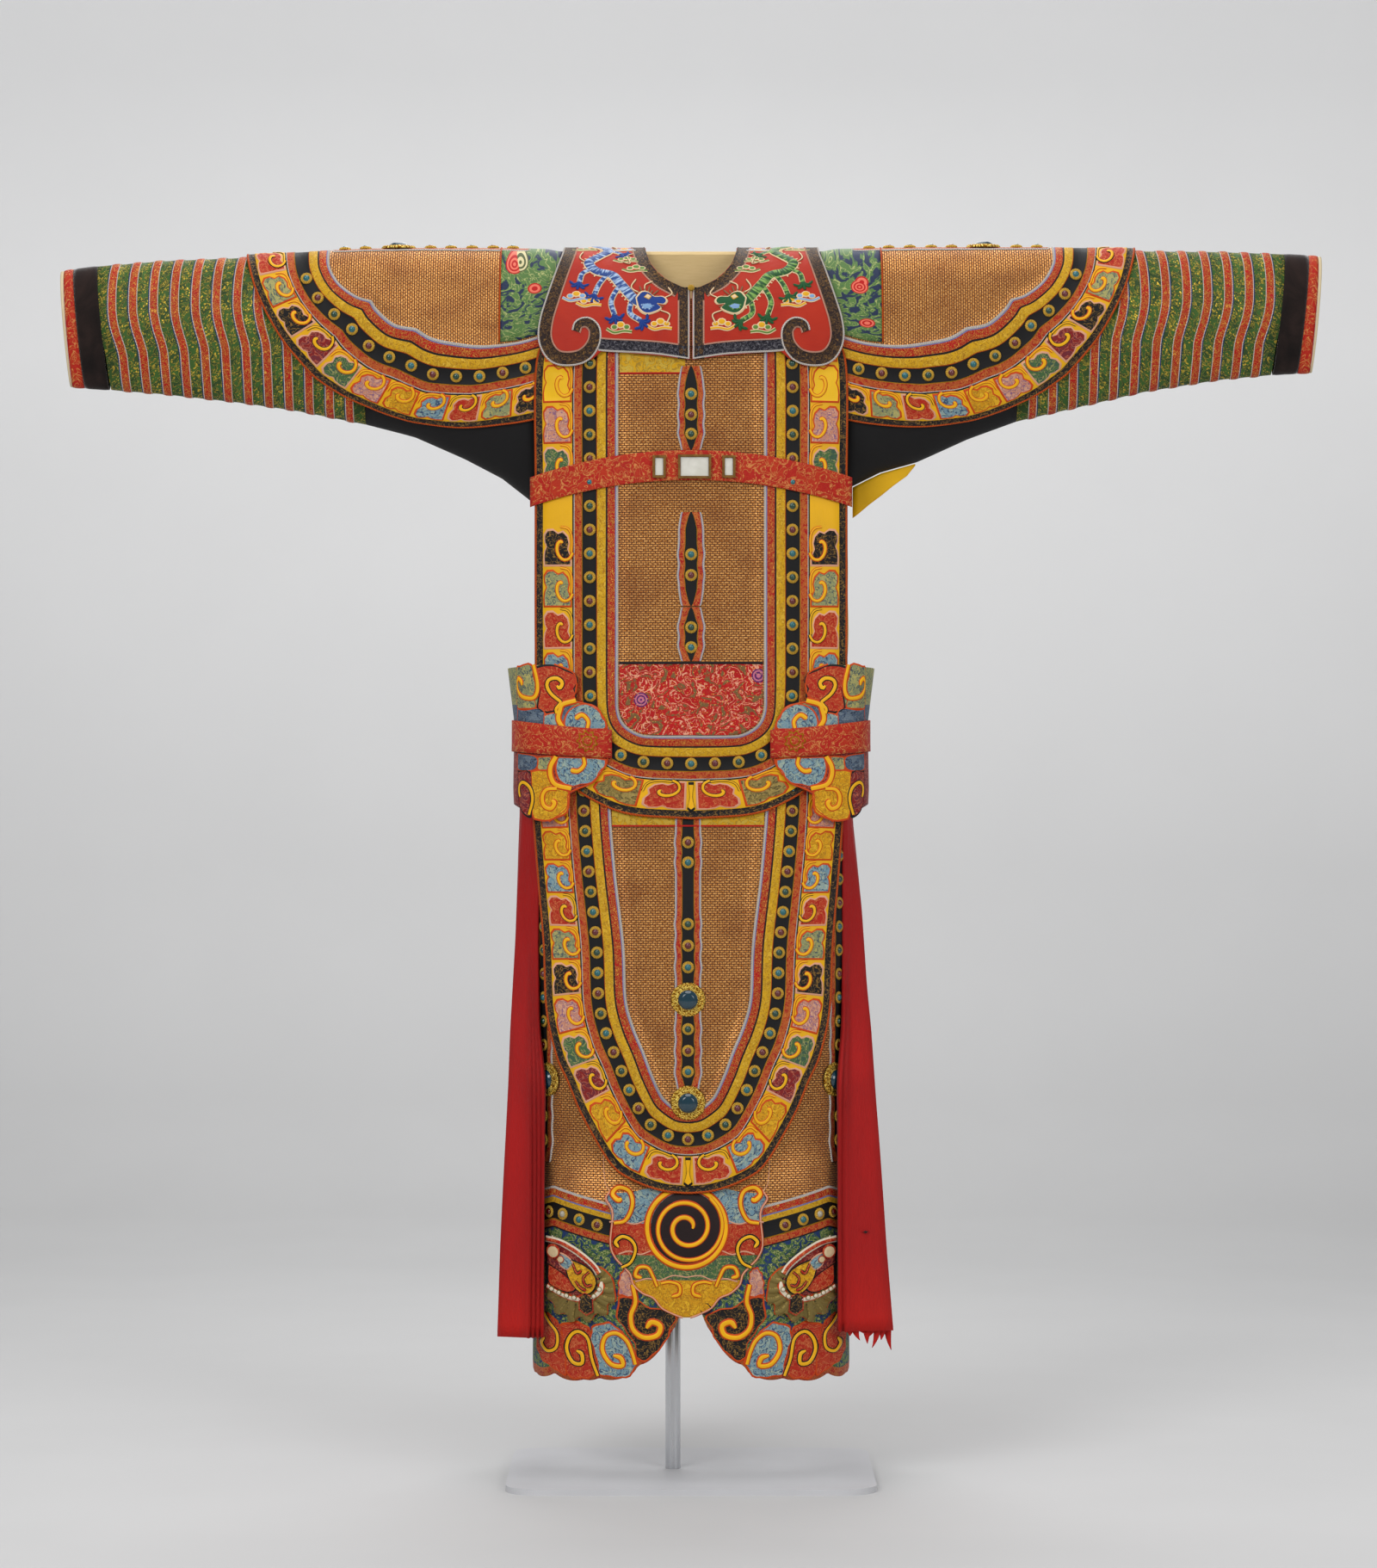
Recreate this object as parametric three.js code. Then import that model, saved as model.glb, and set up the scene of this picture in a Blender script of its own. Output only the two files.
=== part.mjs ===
// A theatrical warrior costume spread along the arm board of a steel stand.
// Millimetres, +Z up. The wearer's front faces -Y; "left" is the -X side.
// Heights are above the top of the base plate until the last line lifts the whole group.
import * as THREE from 'three';
import { mergeVertices } from 'three/addons/utils/BufferGeometryUtils.js';

// ---- driving dimensions ----------------------------------------------------------------------

const PLATE = { width: 480, depth: 340, thick: 8, corner: 40 };
const POLE = { radius: 10, x: -24, sides: 24 };
const BOARD = {
  end: 770, thick: 18, low: 1520, lowEnd: 1545, neckTop: 1611.5, neckHalf: 60, clearance: 0.9,
  round: 5, crown: 1,
};
const BOARD_STATIONS = [60, 80, 150, 300, 432, 600, 700, 770];

const CLOTH = { panel: 2.2, leg: 2, silk: 1.5, velvet: 2.4, belt: 1.8, pleat: 1.6, lining: 1.2 };
const SEAM = 0.3;
const RELIEF = 1.2;
const GROUND_RAISED = 0.2;

// The torso's section is a rounded box; above `chestTop` it closes to the shoulder ridge.
const SHOULDER = { chestTop: 1461, rise: 146 };
const BOX_POWER = 2.5;
const TORSO_FORM = [
  { z: 140, half: 240, deep: 130 },
  { z: 450, half: 240, deep: 118 },
  { z: 700, half: 240, deep: 105 },
  { z: 900, half: 240, deep: 92 },
  { z: 1300, half: 242, deep: 92 },
  { z: 1400, half: 250, deep: 92 },
  { z: 1461, half: 260, deep: 92 },
];
// The leg panels hang in a narrower section than the stiff front and back panels.
const HIP_FORM = [
  { z: 140, half: 207, deep: 130 },
  { z: 450, half: 205, deep: 118 },
  { z: 700, half: 205, deep: 105 },
  { z: 863, half: 205, deep: 92.4 },
  { z: 950, half: 214, deep: 92 },
];
const GUARD_POWER = 4;
const GUARD_FORM = [
  { z: 855, half: 230, deep: 99.2 },
  { z: 900, half: 232, deep: 99.2 },
  { z: 960, half: 231, deep: 99.2 },
  { z: 990, half: 231, deep: 97.7 },
  { z: 1064, half: 240, deep: 94.1 },
];

// How far each layer stands off its form.
const LIFT = { leg: 0, pendant: 2.9, beast: 2.9, collar: 6.4, belt: 4.4, guard: 0.6 };
const TONGUE_LIFT = [
  { z: 520, lift: 6 },
  { z: 600, lift: 3.1 },
];
const BODY_LIFT = [
  { z: 960, lift: 7.9 },
  { z: 1090, lift: 0.4 },
];
const CAP_LIFT = [
  { x: 174, lift: 0.6 },
  { x: 191, lift: 3.5 },
];

// The bordered panels: how far each row lies from the outer edge, and how high it stands.
const BORDER_WIDTH = 107;
const BORDER = [
  { across: 0, raised: 0 },
  { across: 3, raised: 0.9 },
  { across: 10, raised: 0.2 },
  { across: 13, raised: RELIEF },
  { across: 30, raised: RELIEF },
  { across: 48, raised: RELIEF },
  { across: 52, raised: 0.3 },
  { across: 78, raised: 0.3 },
  { across: 103, raised: RELIEF },
  { across: BORDER_WIDTH, raised: GROUND_RAISED },
];
const PLAIN_BORDER = [0, 22, 48, 78, BORDER_WIDTH].map((across) => ({ across, raised: 0 }));
// Rows between the border and the spine, and the rows of each panel that its inner side keeps.
const GROUND = [0.5, 1];
const CAP_GROUND = [0.2, 0.45, 0.66, 0.84, 1];
const BODY_KEPT = [0, 2, 4, 5, 7, 9, 10, 11];
const CAP_KEPT = [0, 4, 7, 9, 10, 11, 12, 13, 14];

// Half outlines, from the middle of the border to its end: cord, outer edge and spine.
const BODY_HALF = [
  { cordX: 0, cordZ: 969, edgeX: 0, edgeZ: 860, spineZ: 1010 },
  { cordX: 45, cordZ: 969, edgeX: 75, edgeZ: 865, spineZ: 1018 },
  { cordX: 66, cordZ: 971, edgeX: 118, edgeZ: 879, spineZ: 1027 },
  { cordX: 85, cordZ: 982, edgeX: 160, edgeZ: 906, spineZ: 1038 },
  { cordX: 94, cordZ: 1000, edgeX: 190, edgeZ: 948, spineZ: 1052 },
  { cordX: 95, cordZ: 1030, edgeX: 203, edgeZ: 1010, spineZ: 1076 },
  { cordX: 95, cordZ: 1100, edgeX: 205, edgeZ: 1100, spineZ: 1120 },
  { cordX: 95, cordZ: 1300, edgeX: 205, edgeZ: 1300, spineZ: 1290 },
  { cordX: 95, cordZ: 1440, edgeX: 205, edgeZ: 1440, spineZ: 1420 },
  { cordX: 95, cordZ: 1490, edgeX: 193, edgeZ: 1490, spineZ: 1466 },
  { cordX: 94, cordZ: 1545, edgeX: 165, edgeZ: 1545, spineZ: 1506 },
  { cordX: 92, cordZ: 1594, edgeX: 150, edgeZ: 1600, spineZ: 1538 },
];
const TONGUE_HALF = [
  { cordX: 0, cordZ: 482, edgeX: 0, edgeZ: 375, spineZ: 520 },
  { cordX: 14, cordZ: 485, edgeX: 36, edgeZ: 379, spineZ: 527 },
  { cordX: 29, cordZ: 497, edgeX: 74, edgeZ: 393, spineZ: 536 },
  { cordX: 36, cordZ: 507, edgeX: 101, edgeZ: 413, spineZ: 547 },
  { cordX: 47, cordZ: 532, edgeX: 138, edgeZ: 474, spineZ: 567 },
  { cordX: 57, cordZ: 559, edgeX: 158, edgeZ: 520, spineZ: 588 },
  { cordX: 71, cordZ: 593, edgeX: 173, edgeZ: 553, spineZ: 612 },
  { cordX: 80, cordZ: 629, edgeX: 186, edgeZ: 612, spineZ: 642 },
  { cordX: 83, cordZ: 697, edgeX: 190, edgeZ: 697, spineZ: 704 },
  { cordX: 94, cordZ: 790, edgeX: 198, edgeZ: 790, spineZ: 792 },
  { cordX: 101, cordZ: 875, edgeX: 204, edgeZ: 870, spineZ: 872 },
  { cordX: 101, cordZ: 935, edgeX: 204, edgeZ: 935, spineZ: 935 },
];
const TONGUE_MIDDLE = -4;

// The shoulder cap, laid over the fold: `drop` is the height below the fold at that place.
const CAP_HALF = [
  { cordX: 477, cordDrop: 0, edgeX: 588, edgeDrop: 0, spineX: 440 },
  { cordX: 475, cordDrop: 22, edgeX: 574, edgeDrop: 45, spineX: 430 },
  { cordX: 461, cordDrop: 45, edgeX: 555, edgeDrop: 85, spineX: 418 },
  { cordX: 438, cordDrop: 62, edgeX: 534, edgeDrop: 119, spineX: 400 },
  { cordX: 419, cordDrop: 68, edgeX: 510, edgeDrop: 148, spineX: 385, corner: true },
  { cordX: 410, cordDrop: 81, edgeX: 492, edgeDrop: 166, spineX: 372 },
  { cordX: 388, cordDrop: 99, edgeX: 455, edgeDrop: 190, spineX: 350 },
  { cordX: 360, cordDrop: 105, edgeX: 415, edgeDrop: 208, spineX: 326, corner: true },
  { cordX: 342, cordDrop: 116, edgeX: 390, edgeDrop: 217, spineX: 310 },
  { cordX: 320, cordDrop: 122, edgeX: 360, edgeDrop: 225, spineX: 292 },
  { cordX: 275, cordDrop: 128, edgeX: 300, edgeDrop: 233, spineX: 256 },
  { cordX: 229, cordDrop: 124, edgeX: 235, edgeDrop: 229, spineX: 208 },
  { cordX: 192, cordDrop: 114, edgeX: 194, edgeDrop: 222, spineX: 156 },
];
// How strongly the cap's columns crowd towards the fold, in millimetres for each radian.
const CAP_CROWD = 150;
const CAP_COLUMNS = 16;

// The sleeve's fold line and lower edge, which differ a little between the two arms.
const SLEEVE = [
  { x: 150, topLeft: 1607, topRight: 1607, lowLeft: 1262, lowRight: 1285, deep: 62 },
  { x: 200, topLeft: 1608, topRight: 1608, lowLeft: 1273, lowRight: 1295, deep: 60 },
  { x: 250, topLeft: 1609, topRight: 1609, lowLeft: 1312, lowRight: 1320, deep: 56 },
  { x: 300, topLeft: 1609, topRight: 1610, lowLeft: 1338, lowRight: 1334, deep: 53 },
  { x: 366, topLeft: 1609, topRight: 1610, lowLeft: 1367, lowRight: 1364, deep: 49 },
  { x: 432, topLeft: 1608, topRight: 1610, lowLeft: 1384, lowRight: 1388, deep: 45 },
  { x: 523, topLeft: 1604, topRight: 1610, lowLeft: 1402, lowRight: 1409, deep: 41 },
  { x: 600, topLeft: 1601, topRight: 1610, lowLeft: 1413, lowRight: 1427, deep: 37 },
  { x: 700, topLeft: 1597, topRight: 1609, lowLeft: 1424, lowRight: 1443, deep: 33 },
  { x: 786, topLeft: 1590, topRight: 1606, lowLeft: 1431, lowRight: 1451, deep: 29 },
  { x: 840, topLeft: 1583, topRight: 1603, lowLeft: 1434, lowRight: 1452, deep: 27 },
];
const SLEEVE_EGG = 0.2;
const SLEEVE_ANGLES = [0, 12, 26, 42, 62, 84, 108, 132, 156, 180].map(THREE.MathUtils.degToRad);

// Seams across the sleeve, at the fold and at the lower edge.
const SEAM_AT = {
  armhole: { fold: 200, low: 200 },
  elbow: { fold: 430, low: 430 },
  velvet: { fold: 785, low: 770 },
  trim: { fold: 817, low: 803 },
  lining: { fold: 829.5, low: 819 },
  mouth: { fold: 834, low: 822 },
};

// The collar's left half from the front slit round to the middle of the back.
const COLLAR_LEFT = [
  { neckX: 1.2, neckZ: 1548, edgeX: 1.2, edgeZ: 1458, front: 1 },
  { neckX: 12, neckZ: 1550, edgeX: 40, edgeZ: 1463, front: 1 },
  { neckX: 25, neckZ: 1556, edgeX: 85, edgeZ: 1467, front: 1 },
  { neckX: 34, neckZ: 1561, edgeX: 117, edgeZ: 1469, front: 1 },
  { neckX: 38, neckZ: 1565, edgeX: 128, edgeZ: 1460, front: 1 },
  { neckX: 44, neckZ: 1570, edgeX: 150, edgeZ: 1451, front: 1 },
  { neckX: 48, neckZ: 1575, edgeX: 178, edgeZ: 1452, front: 1 },
  { neckX: 52, neckZ: 1580, edgeX: 194, edgeZ: 1466, front: 1 },
  { neckX: 55, neckZ: 1586, edgeX: 201, edgeZ: 1488, front: 1 },
  { neckX: 57, neckZ: 1592, edgeX: 198, edgeZ: 1511, front: 1 },
  { neckX: 59, neckZ: 1597, edgeX: 190, edgeZ: 1536, front: 1 },
  { neckX: 60, neckZ: 1602, edgeX: 180.5, edgeZ: 1564, front: 1 },
  { neckX: 60, neckZ: 1605, edgeX: 173, edgeZ: 1586, front: 1 },
  { neckX: 61, neckZ: 1606.5, edgeX: 169, edgeZ: 1600, front: 1 },
  { neckX: 61, neckZ: 1607, edgeX: 168, edgeZ: 1607, front: 1 },
  { neckX: 61, neckZ: 1606.5, edgeX: 169, edgeZ: 1600, front: -1 },
  { neckX: 60, neckZ: 1605, edgeX: 173, edgeZ: 1586, front: -1 },
  { neckX: 58, neckZ: 1602, edgeX: 181, edgeZ: 1562, front: -1 },
  { neckX: 54, neckZ: 1599, edgeX: 191, edgeZ: 1533, front: -1 },
  { neckX: 47, neckZ: 1596, edgeX: 198, edgeZ: 1500, front: -1 },
  { neckX: 36, neckZ: 1594, edgeX: 184, edgeZ: 1464, front: -1 },
  { neckX: 18, neckZ: 1592, edgeX: 100, edgeZ: 1458, front: -1 },
  { neckX: 0, neckZ: 1592, edgeX: 0, edgeZ: 1458, front: -1 },
];

const SIDE_PANEL = {
  x: 200.5, top: 1266, bottom: 954, rows: 5, columns: 6, bulgeLeft: 2, bulgeRight: 6,
};
const CHEST_BELT = { middle: 1321, arch: 33, width: 39, reach: 211, columns: 24 };
const WAIST_BELT = { innerX: 103, inner: [939.6, 976.6], side: [949, 990], columns: 12 };

// The waist guard's inner edge, from its top to its bottom.
const GUARD_EDGE = [
  { z: 1062, x: 177 },
  { z: 1053, x: 155 },
  { z: 1042, x: 148 },
  { z: 1024, x: 149.5 },
  { z: 1015, x: 156 },
  { z: 1009, x: 132 },
  { z: 998, x: 116.5 },
  { z: 977, x: 106.5 },
  { z: 936, x: 106.5 },
  { z: 922, x: 118 },
  { z: 909, x: 125 },
  { z: 899, x: 148 },
  { z: 892, x: 159 },
  { z: 874, x: 161 },
  { z: 857, x: 184 },
];
const GUARD_SIDE = { top: 1058, bottom: 880, columns: 10 };

const PENDANT_EDGE = [
  { z: 470, x: 108 },
  { z: 425, x: 109 },
  { z: 389, x: 107 },
  { z: 378, x: 101 },
  { z: 368, x: 106 },
  { z: 350, x: 97 },
  { z: 311, x: 100 },
  { z: 293, x: 94 },
  { z: 281, x: 83 },
  { z: 271, x: 74 },
  { z: 258, x: 70 },
  { z: 247, x: 58 },
  { z: 241, x: 44 },
  { z: 228, x: 33 },
  { z: 220, x: 17 },
  { z: 216, x: 6 },
];
const PENDANT = { middle: -6, columns: 8 };

// The leg panel's lobed hem: cusps along the arc from the front middle, half of the panel.
const HEM_CUSPS = [
  { arc: 13, z: 222, bulge: 0 },
  { arc: 26, z: 196, bulge: 3 },
  { arc: 67, z: 154, bulge: 9 },
  { arc: 73, z: 145, bulge: 0 },
  { arc: 119, z: 136, bulge: 6 },
  { arc: 140, z: 133, bulge: 2 },
  { arc: 187, z: 138, bulge: 5 },
];
const LEG_ROWS = [950, 863, 700, 450, 310];

const BEAST_EDGE = [
  { z: 313, outer: 188, inner: 180 },
  { z: 303, outer: 190, inner: 160 },
  { z: 291, outer: 191, inner: 140 },
  { z: 280, outer: 191, inner: 122 },
  { z: 270, outer: 191, inner: 104 },
  { z: 255, outer: 190, inner: 97 },
  { z: 240, outer: 187, inner: 96 },
  { z: 226, outer: 178, inner: 100 },
  { z: 213, outer: 166, inner: 116 },
  { z: 206, outer: 156, inner: 134 },
];
const BEAST = { columns: 7, height: 11 };

// The side cloth in plan at each height: inner edge, the fold of the flap, its corner, the side.
const PLEATS_LEFT = [
  { z: 950, edgeX: 199, edgeY: 51, foldX: 210, foldY: 39, cornerX: 222, cornerY: 16, side: 225 },
  { z: 863, edgeX: 200, edgeY: 42, foldX: 211, foldY: 34, cornerX: 224, cornerY: 18, side: 226.5 },
  { z: 700, edgeX: 202, edgeY: 46, foldX: 213, foldY: 37, cornerX: 231, cornerY: 24, side: 233 },
  { z: 586, edgeX: 198, edgeY: 62, foldX: 213, foldY: 60, cornerX: 237, cornerY: 44, side: 239 },
  { z: 519, edgeX: 190.5, edgeY: 77.5, foldX: 213, foldY: 76, cornerX: 239, cornerY: 56, side: 241 },
  { z: 450, edgeX: 191, edgeY: 80, foldX: 213, foldY: 84, cornerX: 242, cornerY: 66, side: 244 },
  { z: 300, edgeX: 190.5, edgeY: 84.5, foldX: 213, foldY: 92, cornerX: 249, cornerY: 76, side: 251 },
  { z: 185, edgeX: 191, edgeY: 88, foldX: 214, foldY: 96, cornerX: 253, cornerY: 84, side: 255 },
];
const PLEATS_RIGHT = [
  { z: 950, edgeX: 202, edgeY: 53, foldX: 208, foldY: 46, cornerX: 219, cornerY: 20, side: 222 },
  { z: 863, edgeX: 200, edgeY: 41, foldX: 204, foldY: 34, cornerX: 207.5, cornerY: 20, side: 209.5 },
  { z: 700, edgeX: 200, edgeY: 46, foldX: 206, foldY: 39, cornerX: 225, cornerY: 24, side: 227 },
  { z: 586, edgeX: 197, edgeY: 61, foldX: 206, foldY: 57, cornerX: 236, cornerY: 44, side: 238 },
  { z: 519, edgeX: 191, edgeY: 78, foldX: 205, foldY: 77, cornerX: 240, cornerY: 60, side: 242 },
  { z: 450, edgeX: 191, edgeY: 80, foldX: 205, foldY: 84, cornerX: 245, cornerY: 66, side: 247 },
  { z: 300, edgeX: 190, edgeY: 85, foldX: 205, foldY: 92, cornerX: 255, cornerY: 76, side: 257 },
  { z: 193, edgeX: 190, edgeY: 88, foldX: 205, foldY: 96, cornerX: 264, cornerY: 84, side: 265 },
];
const PLEAT = { depth: 3.4, foldsLeft: 4, foldsRight: 2 };

const FLAP = [
  { x: 297, low: 1328 },
  { x: 286, low: 1314 },
  { x: 268, low: 1301 },
  { x: 252, low: 1288 },
  { x: 236, low: 1276 },
  { x: 222, low: 1264 },
  { x: 214, low: 1258 },
];

const JEWEL = { radius: 21, height: 9, sides: 14 };
const OVAL = { x: 387, halfLong: 23, halfWide: 16, height: 9 };
const LEG_JEWEL = { x: 187, z: 519 };
const TONGUE_JEWELS = [
  { name: 'tongue_jewel_upper', z: 626, under: GROUND_RAISED },
  { name: 'tongue_jewel_lower', z: 493, under: RELIEF },
];
const BUTTON = { radius: 4.5, z: 1545 };
const PLAQUE_Z = 1319;
const PLAQUES = [
  { name: 'plaque_middle', x: 4.5, width: 43, height: 31 },
  { name: 'plaque_left', x: -41.5, width: 17, height: 29 },
  { name: 'plaque_right', x: 49, width: 17, height: 29 },
];
const PLAQUE = { rim: 3, base: 2, deep: 4.5, lift: 6.8 };

// ---- materials -------------------------------------------------------------------------------

const stuff = (color, roughness, metalness = 0) => (
  new THREE.MeshStandardMaterial({ color, roughness, metalness })
);
const MATERIAL = {
  steel: stuff(0xb4b6ba, 0.3, 1),
  paint: stuff(0xc8c8c8, 0.6),
  board: stuff(0xc9b083, 0.9),
  brocade: stuff(0xa8743a, 0.7),
  green: stuff(0x44603a, 0.65),
  satin: stuff(0x17171b, 0.45),
  velvet: stuff(0x120f0e, 0.95),
  red: stuff(0xb8301f, 0.7),
  cream: stuff(0xe8e0c8, 0.85),
  silk: stuff(0xd8a312, 0.6),
  collar: stuff(0xb63a28, 0.6),
  guard: stuff(0x8fa7a3, 0.7),
  khaki: stuff(0x8a7a4c, 0.8),
  gold: stuff(0xc59a3c, 0.35, 1),
  ivory: stuff(0xdedacb, 0.4),
  jewel: stuff(0x0f4c57, 0.15),
};

// ---- small maths -----------------------------------------------------------------------------

const { lerp, clamp } = THREE.MathUtils;
const steps = (count) => Array.from({ length: count + 1 }, (_, index) => index / count);

// A value read from a table by straight lines between its rows.
function track(table, key, name, at) {
  const rising = table[0][key] < table[table.length - 1][key];
  const rows = rising ? table : [...table].reverse();
  const place = clamp(at, rows[0][key], rows[rows.length - 1][key]);
  const upper = Math.max(1, rows.findIndex((row) => row[key] >= place));
  const [low, high] = [rows[upper - 1], rows[upper]];
  return lerp(low[name], high[name], (place - low[key]) / (high[key] - low[key]));
}

// A value on the smooth line through a table's rows, broken at the rows marked as corners.
function smooth(table, name, turn) {
  const last = table.length - 1;
  const index = Math.min(Math.floor(turn), last - 1);
  const value = (row) => table[clamp(row, 0, last)][name];
  const [before, start, end, after] = [-1, 0, 1, 2].map((step) => value(index + step));
  const brokenStart = table[index].corner || index === 0;
  const brokenEnd = table[index + 1].corner || index + 1 === last;
  const leave = brokenStart ? end - start : (end - before) / 2;
  const arrive = brokenEnd ? end - start : (after - start) / 2;
  const f = turn - index;
  const bend = f * (1 - f) * ((1 - f) * (leave - (end - start)) - f * (arrive - (end - start)));
  return lerp(start, end, f) + bend;
}

// Even places along a table's smooth line, as row numbers; `at` gives the place of a row number.
function evenTurns(table, at, count) {
  const fine = 40 * count;
  const lengths = [0];
  for (let index = 1; index <= fine; index += 1) {
    const [x0, y0] = at(((index - 1) / fine) * (table.length - 1));
    const [x1, y1] = at((index / fine) * (table.length - 1));
    lengths.push(lengths[index - 1] + Math.hypot(x1 - x0, y1 - y0));
  }
  return steps(count).map((part) => {
    const found = lengths.findIndex((length) => length >= part * lengths[fine] - 1e-9);
    return (found / fine) * (table.length - 1);
  });
}

// ---- forms -----------------------------------------------------------------------------------

const boxed = (share, power) => Math.max(1 - Math.abs(share) ** power, 0) ** (1 / power);

// Angle round the shoulder: 0 on the ridge, a quarter turn at the chest, more below it.
function shoulderAngle(z) {
  const above = (z - SHOULDER.chestTop) / SHOULDER.rise;
  return above > 0 ? Math.acos(Math.min(above, 1)) : Math.PI / 2 - above;
}

// A point of the torso's form; a negative angle is at the back.
function torso(x, angle, lift) {
  const turn = Math.abs(angle);
  const over = turn < Math.PI / 2;
  const { chestTop, rise } = SHOULDER;
  const z = over ? chestTop + (rise + lift) * Math.cos(turn) : chestTop - rise * (turn - Math.PI / 2);
  const deep = (track(TORSO_FORM, 'z', 'deep', z) + lift) * (over ? Math.sin(turn) : 1);
  const y = deep * boxed(x / (track(TORSO_FORM, 'z', 'half', z) + lift), BOX_POWER);
  return new THREE.Vector3(x, angle > 0 ? -y : y, z);
}

// A point of a hanging form by its turn: 0 in front, a half turn at the back.
function hanging(form, power, side, turn, z, lift) {
  const half = track(form, 'z', 'half', z) + lift;
  const deep = track(form, 'z', 'deep', z) + lift;
  const x = half * Math.max(Math.sin(turn), 0) ** (2 / power);
  const y = deep * Math.abs(Math.cos(turn)) ** (2 / power);
  return new THREE.Vector3(side * x, turn < Math.PI / 2 ? -y : y, z);
}

// The turn of a hanging form at which its front half reaches x.
function turnAt(form, power, x, z, lift) {
  const share = Math.min(x / (track(form, 'z', 'half', z) + lift), 1);
  return Math.asin(share ** (power / 2));
}

// The turn at an arc length from the front middle, from a table of chords.
function turnOfArc(form, power, arc, z) {
  const count = 120;
  let [length, last] = [0, hanging(form, power, 1, 0, z, 0)];
  for (let index = 1; index <= count; index += 1) {
    const turn = (index / count) * Math.PI;
    const point = hanging(form, power, 1, turn, z, 0);
    const chord = point.distanceTo(last);
    if (length + chord >= arc) return ((index - 1 + (arc - length) / chord) / count) * Math.PI;
    [length, last] = [length + chord, point];
  }
  return Math.PI;
}

// A point of the sleeve: x signed, angle 0 on the fold and positive to the front.
function sleevePoint(x, angle) {
  const hand = x < 0 ? 'Left' : 'Right';
  const top = track(SLEEVE, 'x', `top${hand}`, Math.abs(x));
  const low = track(SLEEVE, 'x', `low${hand}`, Math.abs(x));
  const deep = track(SLEEVE, 'x', 'deep', Math.abs(x)) * (1 + SLEEVE_EGG * Math.cos(angle));
  const z = top - ((top - low) * (1 - Math.cos(angle))) / 2;
  return new THREE.Vector3(x, -Math.sin(angle) * deep, z);
}

function sleeve(x, angle, lift) {
  const along = sleevePoint(x + 1, angle).sub(sleevePoint(x - 1, angle));
  const round = sleevePoint(x, angle + 0.01).sub(sleevePoint(x, angle - 0.01));
  return sleevePoint(x, angle).addScaledVector(round.cross(along).normalize(), lift);
}

function sleeveAngle(x, drop) {
  const hand = x < 0 ? 'Left' : 'Right';
  const top = track(SLEEVE, 'x', `top${hand}`, Math.abs(x));
  const low = track(SLEEVE, 'x', `low${hand}`, Math.abs(x));
  return Math.acos(clamp(1 - (2 * drop) / (top - low), -1, 1));
}

// ---- solids ----------------------------------------------------------------------------------

function solid(positions, triangles) {
  const geometry = new THREE.BufferGeometry();
  geometry.setAttribute('position', new THREE.Float32BufferAttribute(positions, 3));
  geometry.setIndex(triangles);
  let volume = 0;
  const corner = [0, 1, 2].map(() => new THREE.Vector3());
  for (let index = 0; index < triangles.length; index += 3) {
    corner.forEach((point, step) => point.fromArray(positions, 3 * triangles[index + step]));
    volume += corner[0].dot(corner[1].cross(corner[2]));
  }
  if (volume < 0) {
    const turned = (index) => index - (index % 3) + [0, 2, 1][index % 3];
    geometry.setIndex(triangles.map((_, index) => triangles[turned(index)]));
  }
  const merged = mergeVertices(geometry, 1e-3);
  merged.computeVertexNormals();
  return merged;
}

// A wall between two grids of points, closed along its edges. The inner grid keeps only the
// rows in `kept`. A ring joins its columns; a folded grid's last row lies on itself.
function wall(outer, inner, { ring = false, folded = false, kept = null } = {}) {
  const rows = kept ?? outer.map((_, index) => index);
  const positions = [];
  const triangles = [];
  const place = (row) => row.map((point) => {
    positions.push(point.x, point.y, point.z);
    return positions.length / 3 - 1;
  });
  const face = outer.map(place);
  const plain = rows.map((row) => place(inner[row]));
  const columns = face[0].length;
  const spans = ring ? columns : columns - 1;
  const quad = (a, b, c, d) => triangles.push(a, b, c, a, c, d);
  for (let column = 0; column < spans; column += 1) {
    const next = (column + 1) % columns;
    for (let row = 1; row < face.length; row += 1) {
      quad(face[row - 1][column], face[row - 1][next], face[row][next], face[row][column]);
    }
    for (let row = 1; row < plain.length; row += 1) {
      quad(plain[row][column], plain[row][next], plain[row - 1][next], plain[row - 1][column]);
    }
    quad(face[0][next], face[0][column], plain[0][column], plain[0][next]);
    if (!folded) {
      const [top, bottom] = [face.at(-1), plain.at(-1)];
      quad(top[column], top[next], bottom[next], bottom[column]);
    }
  }
  if (!ring) {
    [0, columns - 1].forEach((column) => {
      const turned = column > 0;
      const triangle = (a, b, c) => triangles.push(a, turned ? c : b, turned ? b : c);
      for (let row = 1; row < rows.length; row += 1) {
        const [start, end] = [rows[row - 1], rows[row]];
        for (let step = start; step < end; step += 1) {
          triangle(face[step][column], face[step + 1][column], plain[row - 1][column]);
        }
        triangle(face[end][column], plain[row][column], plain[row - 1][column]);
      }
    });
  }
  return solid(positions, triangles);
}

// A bordered panel: bands from its outer edge to the cord, then ground to the spine. `turns`
// are its columns in the half outline; `place` puts a point of a row on the panel's form.
function bordered({ turns, border, ground, kept, place }) {
  const columns = [
    ...turns.slice(1).reverse().map((turn) => ({ turn, side: -1 })),
    ...turns.map((turn) => ({ turn, side: 1 })),
  ];
  const rows = [
    ...border.map(({ across, raised }) => ({ part: across / BORDER_WIDTH, inward: 0, raised })),
    ...ground.map((inward) => ({ part: 1, inward, raised: border.at(-1).raised })),
  ];
  const grid = (face) => rows.map(({ part, inward, raised }) => columns.map(({ turn, side }) => (
    place({ turn, side, part, inward, rise: face * (CLOTH.panel + raised) })
  )));
  return wall(grid(1), grid(0), { folded: true, kept });
}

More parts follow.
